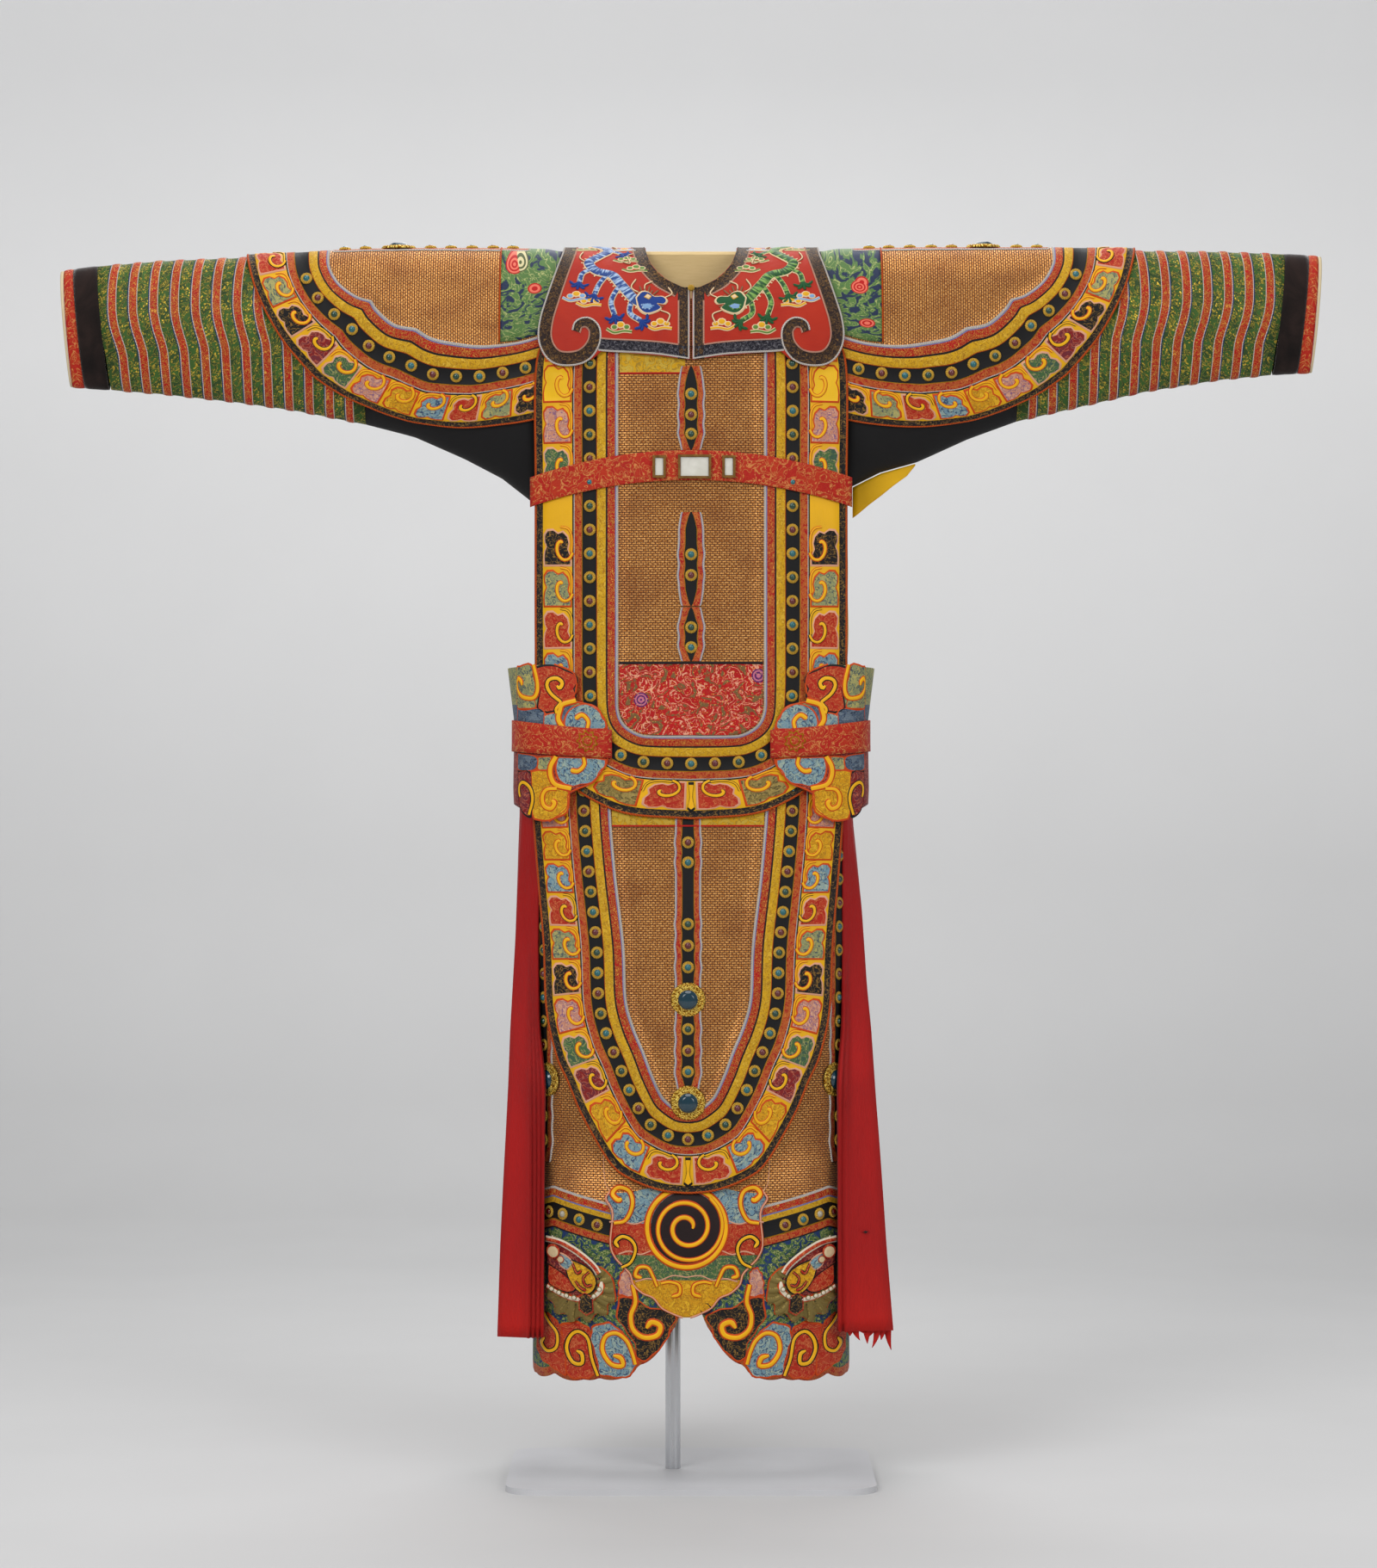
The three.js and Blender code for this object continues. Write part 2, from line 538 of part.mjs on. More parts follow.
// A front or back panel: its table gives x and z, and a spine on the middle line.
function torsoPanel({ table, middle, lifts, front, count, border = PLAIN_BORDER, kept = null }) {
  const place = ({ turn, side, part, inward, rise }) => {
    const [cordX, cordZ, edgeX, edgeZ, spineZ] = ['cordX', 'cordZ', 'edgeX', 'edgeZ', 'spineZ']
      .map((name) => smooth(table, name, turn));
    const x = lerp(lerp(edgeX, cordX, part), 0, inward);
    const z = lerp(lerp(edgeZ, cordZ, part), spineZ, inward);
    const lift = track(lifts, 'z', 'lift', z) + rise;
    return torso(middle + side * x, front * shoulderAngle(z), lift);
  };
  const edge = (turn) => [smooth(table, 'edgeX', turn), smooth(table, 'edgeZ', turn)];
  return bordered({ turns: evenTurns(table, edge, count), border, ground: GROUND, kept, place });
}

function cap(hand) {
  const angleOf = (name, turn) => (
    sleeveAngle(hand * smooth(CAP_HALF, `${name}X`, turn), smooth(CAP_HALF, `${name}Drop`, turn))
  );
  const place = ({ turn, side, part, inward, rise }) => {
    const [cordX, edgeX, spineX] = ['cordX', 'edgeX', 'spineX']
      .map((name) => smooth(CAP_HALF, name, turn));
    const x = lerp(lerp(edgeX, cordX, part), spineX, inward);
    const angle = lerp(lerp(angleOf('edge', turn), angleOf('cord', turn), part), 0, inward);
    return sleeve(hand * x, side * angle, track(CAP_LIFT, 'x', 'lift', x) + rise);
  };
  const edge = (turn) => [smooth(CAP_HALF, 'edgeX', turn), CAP_CROWD * angleOf('edge', turn)];
  const turns = evenTurns(CAP_HALF, edge, CAP_COLUMNS);
  return bordered({ turns, border: BORDER, ground: CAP_GROUND, kept: CAP_KEPT, place });
}

// A stretch of sleeve between two seams, as a tube open at both ends.
function sleeveRing(hand, from, to, rows, low, thick) {
  const angles = [...SLEEVE_ANGLES, ...SLEEVE_ANGLES.slice(1, -1).reverse().map((angle) => -angle)];
  const seam = (at, angle) => lerp(at.fold, at.low, (1 - Math.cos(angle)) / 2);
  const grid = (lift) => steps(rows).map((part) => angles.map((angle) => {
    const start = seam(from, angle) + SEAM / 2;
    const end = seam(to, angle) - SEAM / 2;
    return sleeve(hand * lerp(start, end, part), angle, lift);
  }));
  return wall(grid(low + thick), grid(low), { ring: true });
}

function collar() {
  const right = COLLAR_LEFT.slice(0, -1).reverse().map((row) => ({ ...row, hand: 1 }));
  const columns = [...COLLAR_LEFT.map((row) => ({ ...row, hand: -1 })), ...right];
  const rows = [
    { part: 0, raised: 0 },
    { part: 0.06, raised: 0.8 },
    { part: 0.28, raised: 0.3 },
    { part: 0.55, raised: 0.3 },
    { part: 0.82, raised: 0.3 },
    { part: 0.97, raised: 0.8 },
    { part: 1, raised: 0 },
  ];
  const grid = (face) => rows.map(({ part, raised }) => columns.map((column) => {
    const { neckX, neckZ, edgeX, edgeZ, front, hand } = column;
    const angle = lerp(shoulderAngle(neckZ), shoulderAngle(edgeZ), part);
    const lift = LIFT.collar + face * (CLOTH.panel + raised);
    return torso(hand * lerp(neckX, edgeX, part), front * angle, lift);
  }));
  return wall(grid(1), grid(0), { kept: [0, 2, 3, 4, 6] });
}

function sidePanel(hand) {
  const { x, top, bottom, rows, columns, bulgeLeft, bulgeRight } = SIDE_PANEL;
  const bulge = hand < 0 ? bulgeLeft : bulgeRight;
  const grid = (out) => steps(rows).map((level) => steps(columns).map((part) => {
    const z = lerp(top, bottom, level);
    const reach = -torso(x + CLOTH.silk, shoulderAngle(z), 0).y - SEAM;
    const across = 2 * part - 1;
    const wave = bulge * (1 - across ** 2) * Math.sin(Math.PI * (0.15 + 0.85 * level));
    return new THREE.Vector3(hand * (x + wave + out), across * reach, z);
  }));
  return wall(grid(CLOTH.silk), grid(0));
}

// The underarm flap hangs from the sleeve's lower edge in the middle plane.
function underarmFlap() {
  const thick = CLOTH.silk;
  const grid = (y) => steps(1).map((level) => FLAP.map(({ x, low }) => {
    const top = sleevePoint(x, Math.PI).z - 2 * CLOTH.silk;
    return new THREE.Vector3(x, y, lerp(Math.max(top, low + 1), low, level));
  }));
  return wall(grid(-thick / 2), grid(thick / 2));
}

function chestBelt() {
  const { middle, arch, width, reach, columns } = CHEST_BELT;
  const grid = (lift) => [-0.5, 0.5].map((edge) => steps(columns).map((part) => {
    const x = lerp(-reach, reach, part);
    const z = middle - arch * (x / reach) ** 2 + edge * width;
    return torso(x, shoulderAngle(z), lift);
  }));
  return wall(grid(LIFT.belt + CLOTH.belt), grid(LIFT.belt));
}

// A wall round one hip, from its front inner edge to the same edge at the back.
function roundHip({ form, power, hand, rows, columns, low, thick }) {
  const grid = (lift) => rows.map(({ x, z, sideZ }) => steps(columns).map((part) => {
    const start = turnAt(form, power, x, z, low);
    const turn = lerp(start, Math.PI - start, part);
    const around = Math.sin(Math.PI * part);
    return hanging(form, power, hand, turn, lerp(z, sideZ, around), lift);
  }));
  return wall(grid(low + thick), grid(low));
}

function waistGuard(hand) {
  const { top, bottom, columns } = GUARD_SIDE;
  const [first, last] = [GUARD_EDGE[0].z, GUARD_EDGE.at(-1).z];
  const rows = GUARD_EDGE.map(({ x, z }) => ({
    x, z, sideZ: lerp(top, bottom, (first - z) / (first - last)),
  }));
  const low = LIFT.guard;
  const thick = CLOTH.panel;
  return roundHip({ form: GUARD_FORM, power: GUARD_POWER, hand, rows, columns, low, thick });
}

function waistBelt(hand) {
  const { innerX, inner, side, columns } = WAIST_BELT;
  const rows = inner.map((z, index) => ({ x: innerX, z, sideZ: side[index] }));
  const low = LIFT.guard + CLOTH.panel + 4 * SEAM;
  const thick = CLOTH.belt;
  return roundHip({ form: GUARD_FORM, power: GUARD_POWER, hand, rows, columns, low, thick });
}

function pendant() {
  const { middle, columns } = PENDANT;
  const point = (x, z, lift) => {
    const turn = turnAt(HIP_FORM, BOX_POWER, Math.abs(x), z, lift);
    return hanging(HIP_FORM, BOX_POWER, Math.sign(x) || 1, turn, z, lift);
  };
  const grid = (lift) => PENDANT_EDGE.map(({ x, z }) => steps(columns).map((part) => (
    point(middle + lerp(-x, x, part), z, lift)
  )));
  return wall(grid(LIFT.pendant + CLOTH.panel), grid(LIFT.pendant));
}

// The hem's height at an arc length, as lobes between cusps, mirrored about the last cusp.
function hemHeight(arc) {
  const middle = HEM_CUSPS.at(-1).arc;
  const place = middle - Math.abs(arc - middle);
  const next = Math.max(1, HEM_CUSPS.findIndex((row) => row.arc >= place - 1e-6));
  const [from, to] = [HEM_CUSPS[next - 1], HEM_CUSPS[next]];
  const part = (place - from.arc) / (to.arc - from.arc);
  return lerp(from.z, to.z, part) - 4 * to.bulge * part * (1 - part);
}

function legPanel(hand) {
  const middle = HEM_CUSPS.at(-1).arc;
  const arcs = HEM_CUSPS.flatMap((row, index) => (
    index ? [(row.arc + HEM_CUSPS[index - 1].arc) / 2, row.arc] : [row.arc]
  ));
  const all = [...arcs, ...arcs.slice(0, -1).reverse().map((arc) => 2 * middle - arc)];
  const point = (arc, z, lift) => (
    hanging(HIP_FORM, BOX_POWER, hand, turnOfArc(HIP_FORM, BOX_POWER, arc, z), z, lift)
  );
  const low = LIFT.leg;
  const grid = (lift) => [
    ...LEG_ROWS.map((z) => all.map((arc) => point(arc, z, lift))),
    all.map((arc) => point(arc, lerp(LEG_ROWS.at(-1), hemHeight(arc), 0.5), lift)),
    all.map((arc) => point(arc, hemHeight(arc), lift)),
  ];
  return wall(grid(low + CLOTH.leg), grid(low));
}

function beastHead(hand) {
  const { columns, height } = BEAST;
  const point = (x, z, lift) => {
    const turn = turnAt(HIP_FORM, BOX_POWER, x, z, LIFT.beast);
    return hanging(HIP_FORM, BOX_POWER, hand, turn, z, lift);
  };
  const last = BEAST_EDGE.length - 1;
  const grid = (face) => BEAST_EDGE.map(({ z, outer, inner }, index) => steps(columns).map((part) => {
    const dome = Math.sqrt(Math.sin(Math.PI * part) * Math.sin((Math.PI * index) / last));
    return point(lerp(outer, inner, part), z, LIFT.beast + face * (2 + height * dome));
  }));
  return wall(grid(1), grid(0));
}

// The red side cloth: knife pleats, a flap that swings out, and its mirror image at the back.
function sideCloth(hand, table, folds) {
  const path = ({ edgeX, edgeY, foldX, foldY, cornerX, cornerY, side, z }) => {
    const fade = clamp((700 - z) / 200, 0, 1);
    const across = new THREE.Vector2(foldY - edgeY, edgeX - foldX).normalize();
    const bundle = steps(2 * folds).map((part, index) => {
      const out = index % 2 ? PLEAT.depth * fade : 0;
      return [lerp(edgeX, foldX, part) - across.x * out, lerp(edgeY, foldY, part) - across.y * out];
    });
    const flap = [[(foldX + cornerX) / 2, (foldY + cornerY) / 2], [cornerX, cornerY], [side, 0]];
    const half = [...bundle, ...flap];
    return [...half, ...half.slice(0, -1).reverse().map(([x, y]) => [x, -y])];
  };
  const outward = (table_row, points) => points.map((_, index) => {
    const before = points[Math.max(index - 1, 0)];
    const after = points[Math.min(index + 1, points.length - 1)];
    const inBundle = index <= 2 * folds || index >= points.length - 1 - 2 * folds;
    const sign = index < points.length / 2 ? 1 : -1;
    const bundle = [table_row.foldX - table_row.edgeX, sign * (table_row.foldY - table_row.edgeY)];
    const along = inBundle
      ? new THREE.Vector2(sign * bundle[0], sign * bundle[1])
      : new THREE.Vector2(after[0] - before[0], after[1] - before[1]);
    return new THREE.Vector2(-along.y, along.x).normalize().multiplyScalar(CLOTH.pleat);
  });
  const grid = (face) => table.map((row) => {
    const points = path(row);
    const shift = outward(row, points);
    return points.map(([x, y], index) => new THREE.Vector3(
      hand * (x - face * shift[index].x),
      -(y - face * shift[index].y),
      row.z,
    ));
  });
  return wall(grid(1), grid(0));
}

// A cabochon in a rim, standing on the surface `on` at the place (u, v) and square to it there.
function jewel(on, [u, v], { radius = JEWEL.radius, height = JEWEL.height, squash = 1 } = {}) {
  const profile = [
    [0, 0], [radius, 0], [radius, 0.28 * height], [radius * 0.84, 0.5 * height],
    [radius * 0.62, 0.45 * height], [radius * 0.45, 0.9 * height], [0, height],
  ].map(([x, y]) => new THREE.Vector2(x, y));
  const geometry = new THREE.LatheGeometry(profile, JEWEL.sides).rotateX(Math.PI / 2);
  geometry.scale(1, squash, 1);
  const mesh = new THREE.Mesh(closed(geometry), MATERIAL.jewel);
  const nudge = 0.01;
  const across = on(u + nudge, v).sub(on(u - nudge, v));
  const along = on(u, v + nudge).sub(on(u, v - nudge));
  const normal = across.cross(along).normalize();
  const outward = normal.y > 0.5 || normal.z < -0.9 ? normal.negate() : normal;
  mesh.quaternion.setFromUnitVectors(new THREE.Vector3(0, 0, 1), outward);
  mesh.position.copy(on(u, v));
  return mesh;
}

function closed(geometry) {
  geometry.deleteAttribute('normal');
  geometry.deleteAttribute('uv');
  const merged = mergeVertices(geometry, 1e-3);
  const index = [...merged.index.array];
  const kept = index.filter((_, place) => {
    const [a, b, c] = index.slice(place - (place % 3), place - (place % 3) + 3);
    return a !== b && b !== c && c !== a;
  });
  merged.setIndex(kept);
  merged.computeVertexNormals();
  return merged;
}

// ---- stand -----------------------------------------------------------------------------------

function basePlate() {
  const { width, depth, thick, corner } = PLATE;
  const outline = new THREE.Shape();
  outline.moveTo(-width / 2 + corner, -depth / 2);
  outline.lineTo(width / 2 - corner, -depth / 2);
  outline.absarc(width / 2 - corner, -depth / 2 + corner, corner, -Math.PI / 2, 0);
  outline.lineTo(width / 2, depth / 2 - corner);
  outline.absarc(width / 2 - corner, depth / 2 - corner, corner, 0, Math.PI / 2);
  outline.lineTo(-width / 2 + corner, depth / 2);
  outline.absarc(-width / 2 + corner, depth / 2 - corner, corner, Math.PI / 2, Math.PI);
  outline.lineTo(-width / 2, -depth / 2 + corner);
  outline.absarc(-width / 2 + corner, -depth / 2 + corner, corner, Math.PI, Math.PI * 1.5);
  const extruded = { depth: thick, bevelEnabled: false, curveSegments: 6 };
  return closed(new THREE.ExtrudeGeometry(outline, extruded));
}

// The board's top follows the sleeves' fold line just under the cloth.
function boardTop(x) {
  const hand = x < 0 ? 'Left' : 'Right';
  const fold = track(SLEEVE, 'x', `top${hand}`, Math.abs(x)) - BOARD.clearance;
  return Math.abs(x) <= BOARD.neckHalf ? BOARD.neckTop : fold;
}

function armBoard() {
  const { end, thick, neckHalf, round, crown } = BOARD;
  const low = (x) => (
    lerp(BOARD.low, BOARD.lowEnd, clamp((Math.abs(x) - neckHalf) / (end - neckHalf), 0, 1))
  );
  const section = (x) => {
    const [top, bottom] = [boardTop(x), low(x)];
    const half = thick / 2;
    return [
      [0, top], [round - half, top - crown], [-half, top - round], [-half, bottom + round],
      [round - half, bottom], [half - round, bottom], [half, bottom + round], [half, top - round],
      [half - round, top - crown],
    ].map(([y, z]) => new THREE.Vector3(x, y, z));
  };
  const stations = [...BOARD_STATIONS.map((x) => -x).reverse(), ...BOARD_STATIONS];
  const rings = stations.map(section);
  const positions = rings.flat().flatMap((point) => point.toArray());
  const size = rings[0].length;
  const triangles = [];
  for (let ring = 1; ring < rings.length; ring += 1) {
    for (let step = 0; step < size; step += 1) {
      const [a, b] = [(ring - 1) * size + step, (ring - 1) * size + ((step + 1) % size)];
      triangles.push(a, b, b + size, a, b + size, a + size);
    }
  }
  const last = (rings.length - 1) * size;
  for (let step = 1; step < size - 1; step += 1) {
    triangles.push(0, step + 1, step, last, last + step, last + step + 1);
  }
  return { geometry: solid(positions, triangles), low: low(POLE.x) };
}

function pole(top) {
  const geometry = new THREE.CylinderGeometry(POLE.radius, POLE.radius, top, POLE.sides);
  return closed(geometry.rotateX(Math.PI / 2).translate(POLE.x, 0, top / 2));
}

// ---- the part --------------------------------------------------------------------------------

const costume = new THREE.Group();
costume.position.z = PLATE.thick;

function add(name, geometry, material) {
  const mesh = new THREE.Mesh(geometry, material);
  mesh.name = name;
  costume.add(mesh);
  return mesh;
}

function addJewel(name, mesh) {
  const named = mesh;
  named.name = name;
  costume.add(named);
}

const board = armBoard();
const plate = add('stand_base', basePlate(), MATERIAL.paint);
plate.position.z = -PLATE.thick;
add('stand_pole', pole(board.low - SEAM), MATERIAL.steel).position.z = SEAM / 2;
add('stand_arm', board.geometry, MATERIAL.board);

const body = { table: BODY_HALF, lifts: BODY_LIFT, middle: 0 };
const tongue = { table: TONGUE_HALF, lifts: TONGUE_LIFT };
const bordering = { front: 1, border: BORDER, kept: BODY_KEPT };
add('front_body', torsoPanel({ ...body, ...bordering, count: 18 }), MATERIAL.brocade);
add('back_body', torsoPanel({ ...body, front: -1, count: 12 }), MATERIAL.brocade);
const frontTongue = torsoPanel({ ...tongue, ...bordering, middle: TONGUE_MIDDLE, count: 15 });
add('tongue_front', frontTongue, MATERIAL.brocade);
add('tongue_back', torsoPanel({ ...tongue, middle: 0, front: -1, count: 10 }), MATERIAL.brocade);
add('pendant_front', pendant(), MATERIAL.guard);
add('collar', collar(), MATERIAL.collar);
add('chest_belt', chestBelt(), MATERIAL.red);
add('underarm_flap_right', underarmFlap(), MATERIAL.silk);

for (const [hand, side] of [[-1, 'left'], [1, 'right']]) {
  const { armhole, elbow, velvet, trim, lining, mouth } = SEAM_AT;
  add(`side_panel_${side}`, sidePanel(hand), MATERIAL.silk);
  add(`upper_sleeve_${side}`, sleeveRing(hand, armhole, elbow, 4, 0, CLOTH.silk), MATERIAL.satin);
  add(`sleeve_${side}`, sleeveRing(hand, elbow, velvet, 5, 0, CLOTH.silk), MATERIAL.green);
  add(`cuff_band_${side}`, sleeveRing(hand, velvet, trim, 1, 0, CLOTH.velvet), MATERIAL.velvet);
  add(`cuff_edge_${side}`, sleeveRing(hand, trim, lining, 1, 0, CLOTH.silk), MATERIAL.red);
  add(`cuff_lining_${side}`, sleeveRing(hand, lining, mouth, 1, 0, CLOTH.lining), MATERIAL.cream);
  add(`shoulder_cap_${side}`, cap(hand), MATERIAL.brocade);
  add(`waist_guard_${side}`, waistGuard(hand), MATERIAL.guard);
  add(`waist_belt_${side}`, waistBelt(hand), MATERIAL.red);
  add(`leg_${side}`, legPanel(hand), MATERIAL.brocade);
  add(`beast_${side}`, beastHead(hand), MATERIAL.khaki);
  const leftCloth = [PLEATS_LEFT, PLEAT.foldsLeft];
  const [table, folds] = hand < 0 ? leftCloth : [PLEATS_RIGHT, PLEAT.foldsRight];
  add(`pleats_${side}`, sideCloth(hand, table, folds), MATERIAL.red);

  const ovalLift = CAP_LIFT.at(-1).lift + CLOTH.panel + GROUND_RAISED + SEAM;
  const oval = { radius: OVAL.halfLong, height: OVAL.height, squash: OVAL.halfWide / OVAL.halfLong };
  const onCap = (x, angle) => sleeve(hand * x, angle, ovalLift);
  addJewel(`shoulder_jewel_${side}`, jewel(onCap, [OVAL.x, 0], oval));
  const legLift = LIFT.leg + CLOTH.leg;
  const onLeg = (x, z) => {
    const turn = turnAt(HIP_FORM, BOX_POWER, x, z, legLift);
    return hanging(HIP_FORM, BOX_POWER, hand, turn, z, legLift);
  };
  addJewel(`leg_jewel_${side}`, jewel(onLeg, [LEG_JEWEL.x, LEG_JEWEL.z]));
}

for (const { name, z, under } of TONGUE_JEWELS) {
  const lift = CLOTH.panel + under + SEAM;
  const onTongue = (x, height) => (
    torso(x, shoulderAngle(height), track(TONGUE_LIFT, 'z', 'lift', height) + lift)
  );
  addJewel(name, jewel(onTongue, [TONGUE_MIDDLE, z]));
}

const ball = new THREE.SphereGeometry(BUTTON.radius, 8, 6);
const ballAt = torso(0, shoulderAngle(BUTTON.z), LIFT.collar + CLOTH.panel + BUTTON.radius + 3 * SEAM);
add('neck_button', closed(ball), MATERIAL.gold).position.copy(ballAt);

for (const { name, x, width, height } of PLAQUES) {
  const { rim, base, deep, lift } = PLAQUE;
  const frame = new THREE.Shape([
    [-width / 2, -height / 2], [width / 2, -height / 2],
    [width / 2, height / 2], [-width / 2, height / 2],
  ].map(([u, v]) => new THREE.Vector2(u, v)));
  const [halfW, halfH] = [width / 2 - rim, height / 2 - rim];
  frame.holes.push(new THREE.Path([
    [-halfW, -halfH], [-halfW, halfH], [halfW, halfH], [halfW, -halfH],
  ].map(([u, v]) => new THREE.Vector2(u, v))));
  const at = torso(x, shoulderAngle(PLAQUE_Z), lift);
  const turned = Math.atan2(torso(x + 5, shoulderAngle(PLAQUE_Z), lift).y - at.y, 5);
  const rimGeometry = closed(new THREE.ExtrudeGeometry(frame, { depth: deep, bevelEnabled: false }));
  const inside = (length) => length - 2 * rim - 2 * SEAM;
  const plateGeometry = new THREE.BoxGeometry(inside(width), inside(height), base);
  for (const [part, geometry, material] of [
    [`${name}_frame`, rimGeometry, MATERIAL.gold],
    [name, closed(plateGeometry.translate(0, 0, base / 2 + SEAM)), MATERIAL.ivory],
  ]) {
    const mesh = add(part, geometry, material);
    mesh.rotation.set(Math.PI / 2, 0, turned, 'ZXY');
    mesh.position.copy(at);
  }
}

export default costume;
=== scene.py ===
import bpy
import bmesh
import math
import numpy as np
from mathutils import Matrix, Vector


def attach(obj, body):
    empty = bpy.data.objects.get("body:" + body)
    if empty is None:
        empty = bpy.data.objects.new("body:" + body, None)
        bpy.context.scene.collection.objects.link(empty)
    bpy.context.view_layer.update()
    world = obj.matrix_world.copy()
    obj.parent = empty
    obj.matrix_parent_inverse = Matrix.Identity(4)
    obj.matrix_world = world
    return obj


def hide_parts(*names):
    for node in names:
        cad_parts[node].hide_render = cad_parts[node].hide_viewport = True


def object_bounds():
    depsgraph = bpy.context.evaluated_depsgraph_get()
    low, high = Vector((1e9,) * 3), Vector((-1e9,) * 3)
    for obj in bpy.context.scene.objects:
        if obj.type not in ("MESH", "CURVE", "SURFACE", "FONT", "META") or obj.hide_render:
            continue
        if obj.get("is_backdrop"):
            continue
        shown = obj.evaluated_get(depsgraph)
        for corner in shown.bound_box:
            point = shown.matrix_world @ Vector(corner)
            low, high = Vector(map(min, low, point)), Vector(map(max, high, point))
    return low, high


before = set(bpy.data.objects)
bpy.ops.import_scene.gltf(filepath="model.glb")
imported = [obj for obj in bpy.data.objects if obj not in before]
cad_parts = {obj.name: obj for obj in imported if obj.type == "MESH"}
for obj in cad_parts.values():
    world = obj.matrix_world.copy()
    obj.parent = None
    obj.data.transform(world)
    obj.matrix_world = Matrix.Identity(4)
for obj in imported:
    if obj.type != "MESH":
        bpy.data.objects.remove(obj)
cad_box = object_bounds()

# ---- Room, camera and light ----
# The costume stands in front of a pale grey paper sweep, lit by large soft lamps from both
# sides and above, and is seen square on from five and a half metres.


class Number:
    """A number on its way through a material; sums with it become Math nodes."""

    def __init__(self, finish, socket):
        self.finish, self.socket = finish, socket

    def maths(self, kind, *others):
        inputs = {place: value for place, value in enumerate((self, *others))}
        return self.finish.node("ShaderNodeMath", {"operation": kind}, inputs)

    def __add__(self, other):
        return self.maths("ADD", other)

    __radd__ = __add__

    def __mul__(self, other):
        return self.maths("MULTIPLY", other)

    __rmul__ = __mul__

    def __sub__(self, other):
        return self.maths("SUBTRACT", other)

    def __rsub__(self, other):
        return self.finish.node("ShaderNodeMath", {"operation": "SUBTRACT"}, {0: other, 1: self})

    def __gt__(self, other):
        return self.maths("GREATER_THAN", other)

    def __lt__(self, other):
        return self.maths("LESS_THAN", other)

    def size(self):
        return self.maths("ABSOLUTE")

    def wave(self):
        return self.maths("SINE")

    def most(self, other):
        return self.maths("MAXIMUM", other)

    def from_to(self, low, high):
        """0 up to low, 1 from high."""
        sockets = {0: self, 1: low, 2: high}
        return self.finish.node("ShaderNodeMapRange", {"clamp": True}, sockets)


class Finish:
    """One finish: a Principled shader and the nodes that feed it."""

    def __init__(self, name, along="UV", **plain):
        self.material = bpy.data.materials.new(name)
        self.material.use_nodes = True
        self.tree = self.material.node_tree
        self.shader = self.tree.nodes["Principled BSDF"]
        self.shader.inputs["Specular IOR Level"].default_value = 0.25
        for socket, value in plain.items():
            self.shader.inputs[socket.replace("_", " ")].default_value = value
        self.place = self.node("ShaderNodeTexCoord", out=along)

    def node(self, kind, settings=None, inputs=None, out=0):
        made = self.tree.nodes.new(kind)
        for key, value in (settings or {}).items():
            setattr(made, key, value)
        for key, value in (inputs or {}).items():
            self.feed(made.inputs[key], value)
        return Number(self, made.outputs[out])

    def feed(self, socket, value):
        if isinstance(value, Number):
            self.tree.links.new(value.socket, socket)
        elif hasattr(value, "__len__") and len(socket.default_value) > len(value):
            socket.default_value = (*value, 1)
        else:
            socket.default_value = value

    def stretched(self, scale, shift=(0, 0, 0)):
        """The place on the piece, scaled along and across."""
        across = scale if hasattr(scale, "__len__") else (scale, scale, scale)
        return self.node("ShaderNodeMapping", {}, {"Vector": self.place, "Scale": across, "Location": shift})

    def noise(self, scale, detail=2, bend=0.0, shift=(0, 0, 0)):
        inputs = {"Vector": self.stretched(scale, shift), "Scale": 1, "Detail": detail, "Distortion": bend}
        return self.node("ShaderNodeTexNoise", {}, inputs)

    def cells(self, scale, out="Distance"):
        return self.node("ShaderNodeTexVoronoi", {}, {"Vector": self.stretched(scale), "Scale": 1}, out)

    def axis(self, number):
        return self.node("ShaderNodeSeparateXYZ", {}, {0: self.place}, number)

    def mix(self, share, first, second):
        return self.node("ShaderNodeMix", {"data_type": "RGBA"}, {0: share, 6: first, 7: second}, 2)

    def done(self, colour=None, rough=None, metal=None, bump=None, depth=0.0004):
        for name, value in (("Base Color", colour), ("Roughness", rough), ("Metallic", metal)):
            if value is not None:
                self.feed(self.shader.inputs[name], value)
        if bump is not None:
            inputs = {"Strength": 1.0, "Distance": depth, "Height": bump}
            self.feed(self.shader.inputs["Normal"], self.node("ShaderNodeBump", {}, inputs))
        return self.material


def tint(red, green, blue, strength=1):
    """A colour as it looks on a screen, made linear for the shader and a little deeper."""
    linear = [c / 12.92 if c < 0.04 else ((c + 0.055) / 1.055) ** 2.4 for c in (red, green, blue)]
    grey = sum(linear) / 3
    return tuple(strength * max(grey + 1.14 * (c - grey), 0.002) for c in linear)


# A sheet of paper that lies under the stand and rises behind it.
sweep = bmesh.new()
start = [sweep.verts.new((-9, -4, 0)), sweep.verts.new((9, -4, 0))]
edge = sweep.edges.new(start)
line = [(6.4, 0, 0), (0, 0.6, 0.03), (0, 0.45, 0.2), (0, 0.3, 0.5), (0, 0.1, 0.9), (0, 0.0, 8)]
for step in line:
    step = (0, step[0], 0) if step[0] else step
    made = bmesh.ops.extrude_edge_only(sweep, edges=[edge])["geom"]
    verts = [g for g in made if isinstance(g, bmesh.types.BMVert)]
    bmesh.ops.translate(sweep, verts=verts, vec=step)
    edge = next(g for g in made if isinstance(g, bmesh.types.BMEdge))
bmesh.ops.recalc_face_normals(sweep, faces=sweep.faces)
mesh = bpy.data.meshes.new("paper_sweep")
sweep.to_mesh(mesh)
for face in mesh.polygons:
    face.use_smooth = True
paper = bpy.data.objects.new("paper_sweep", mesh)
bpy.context.collection.objects.link(paper)
finish = Finish("paper", along="Object", Roughness=0.9)
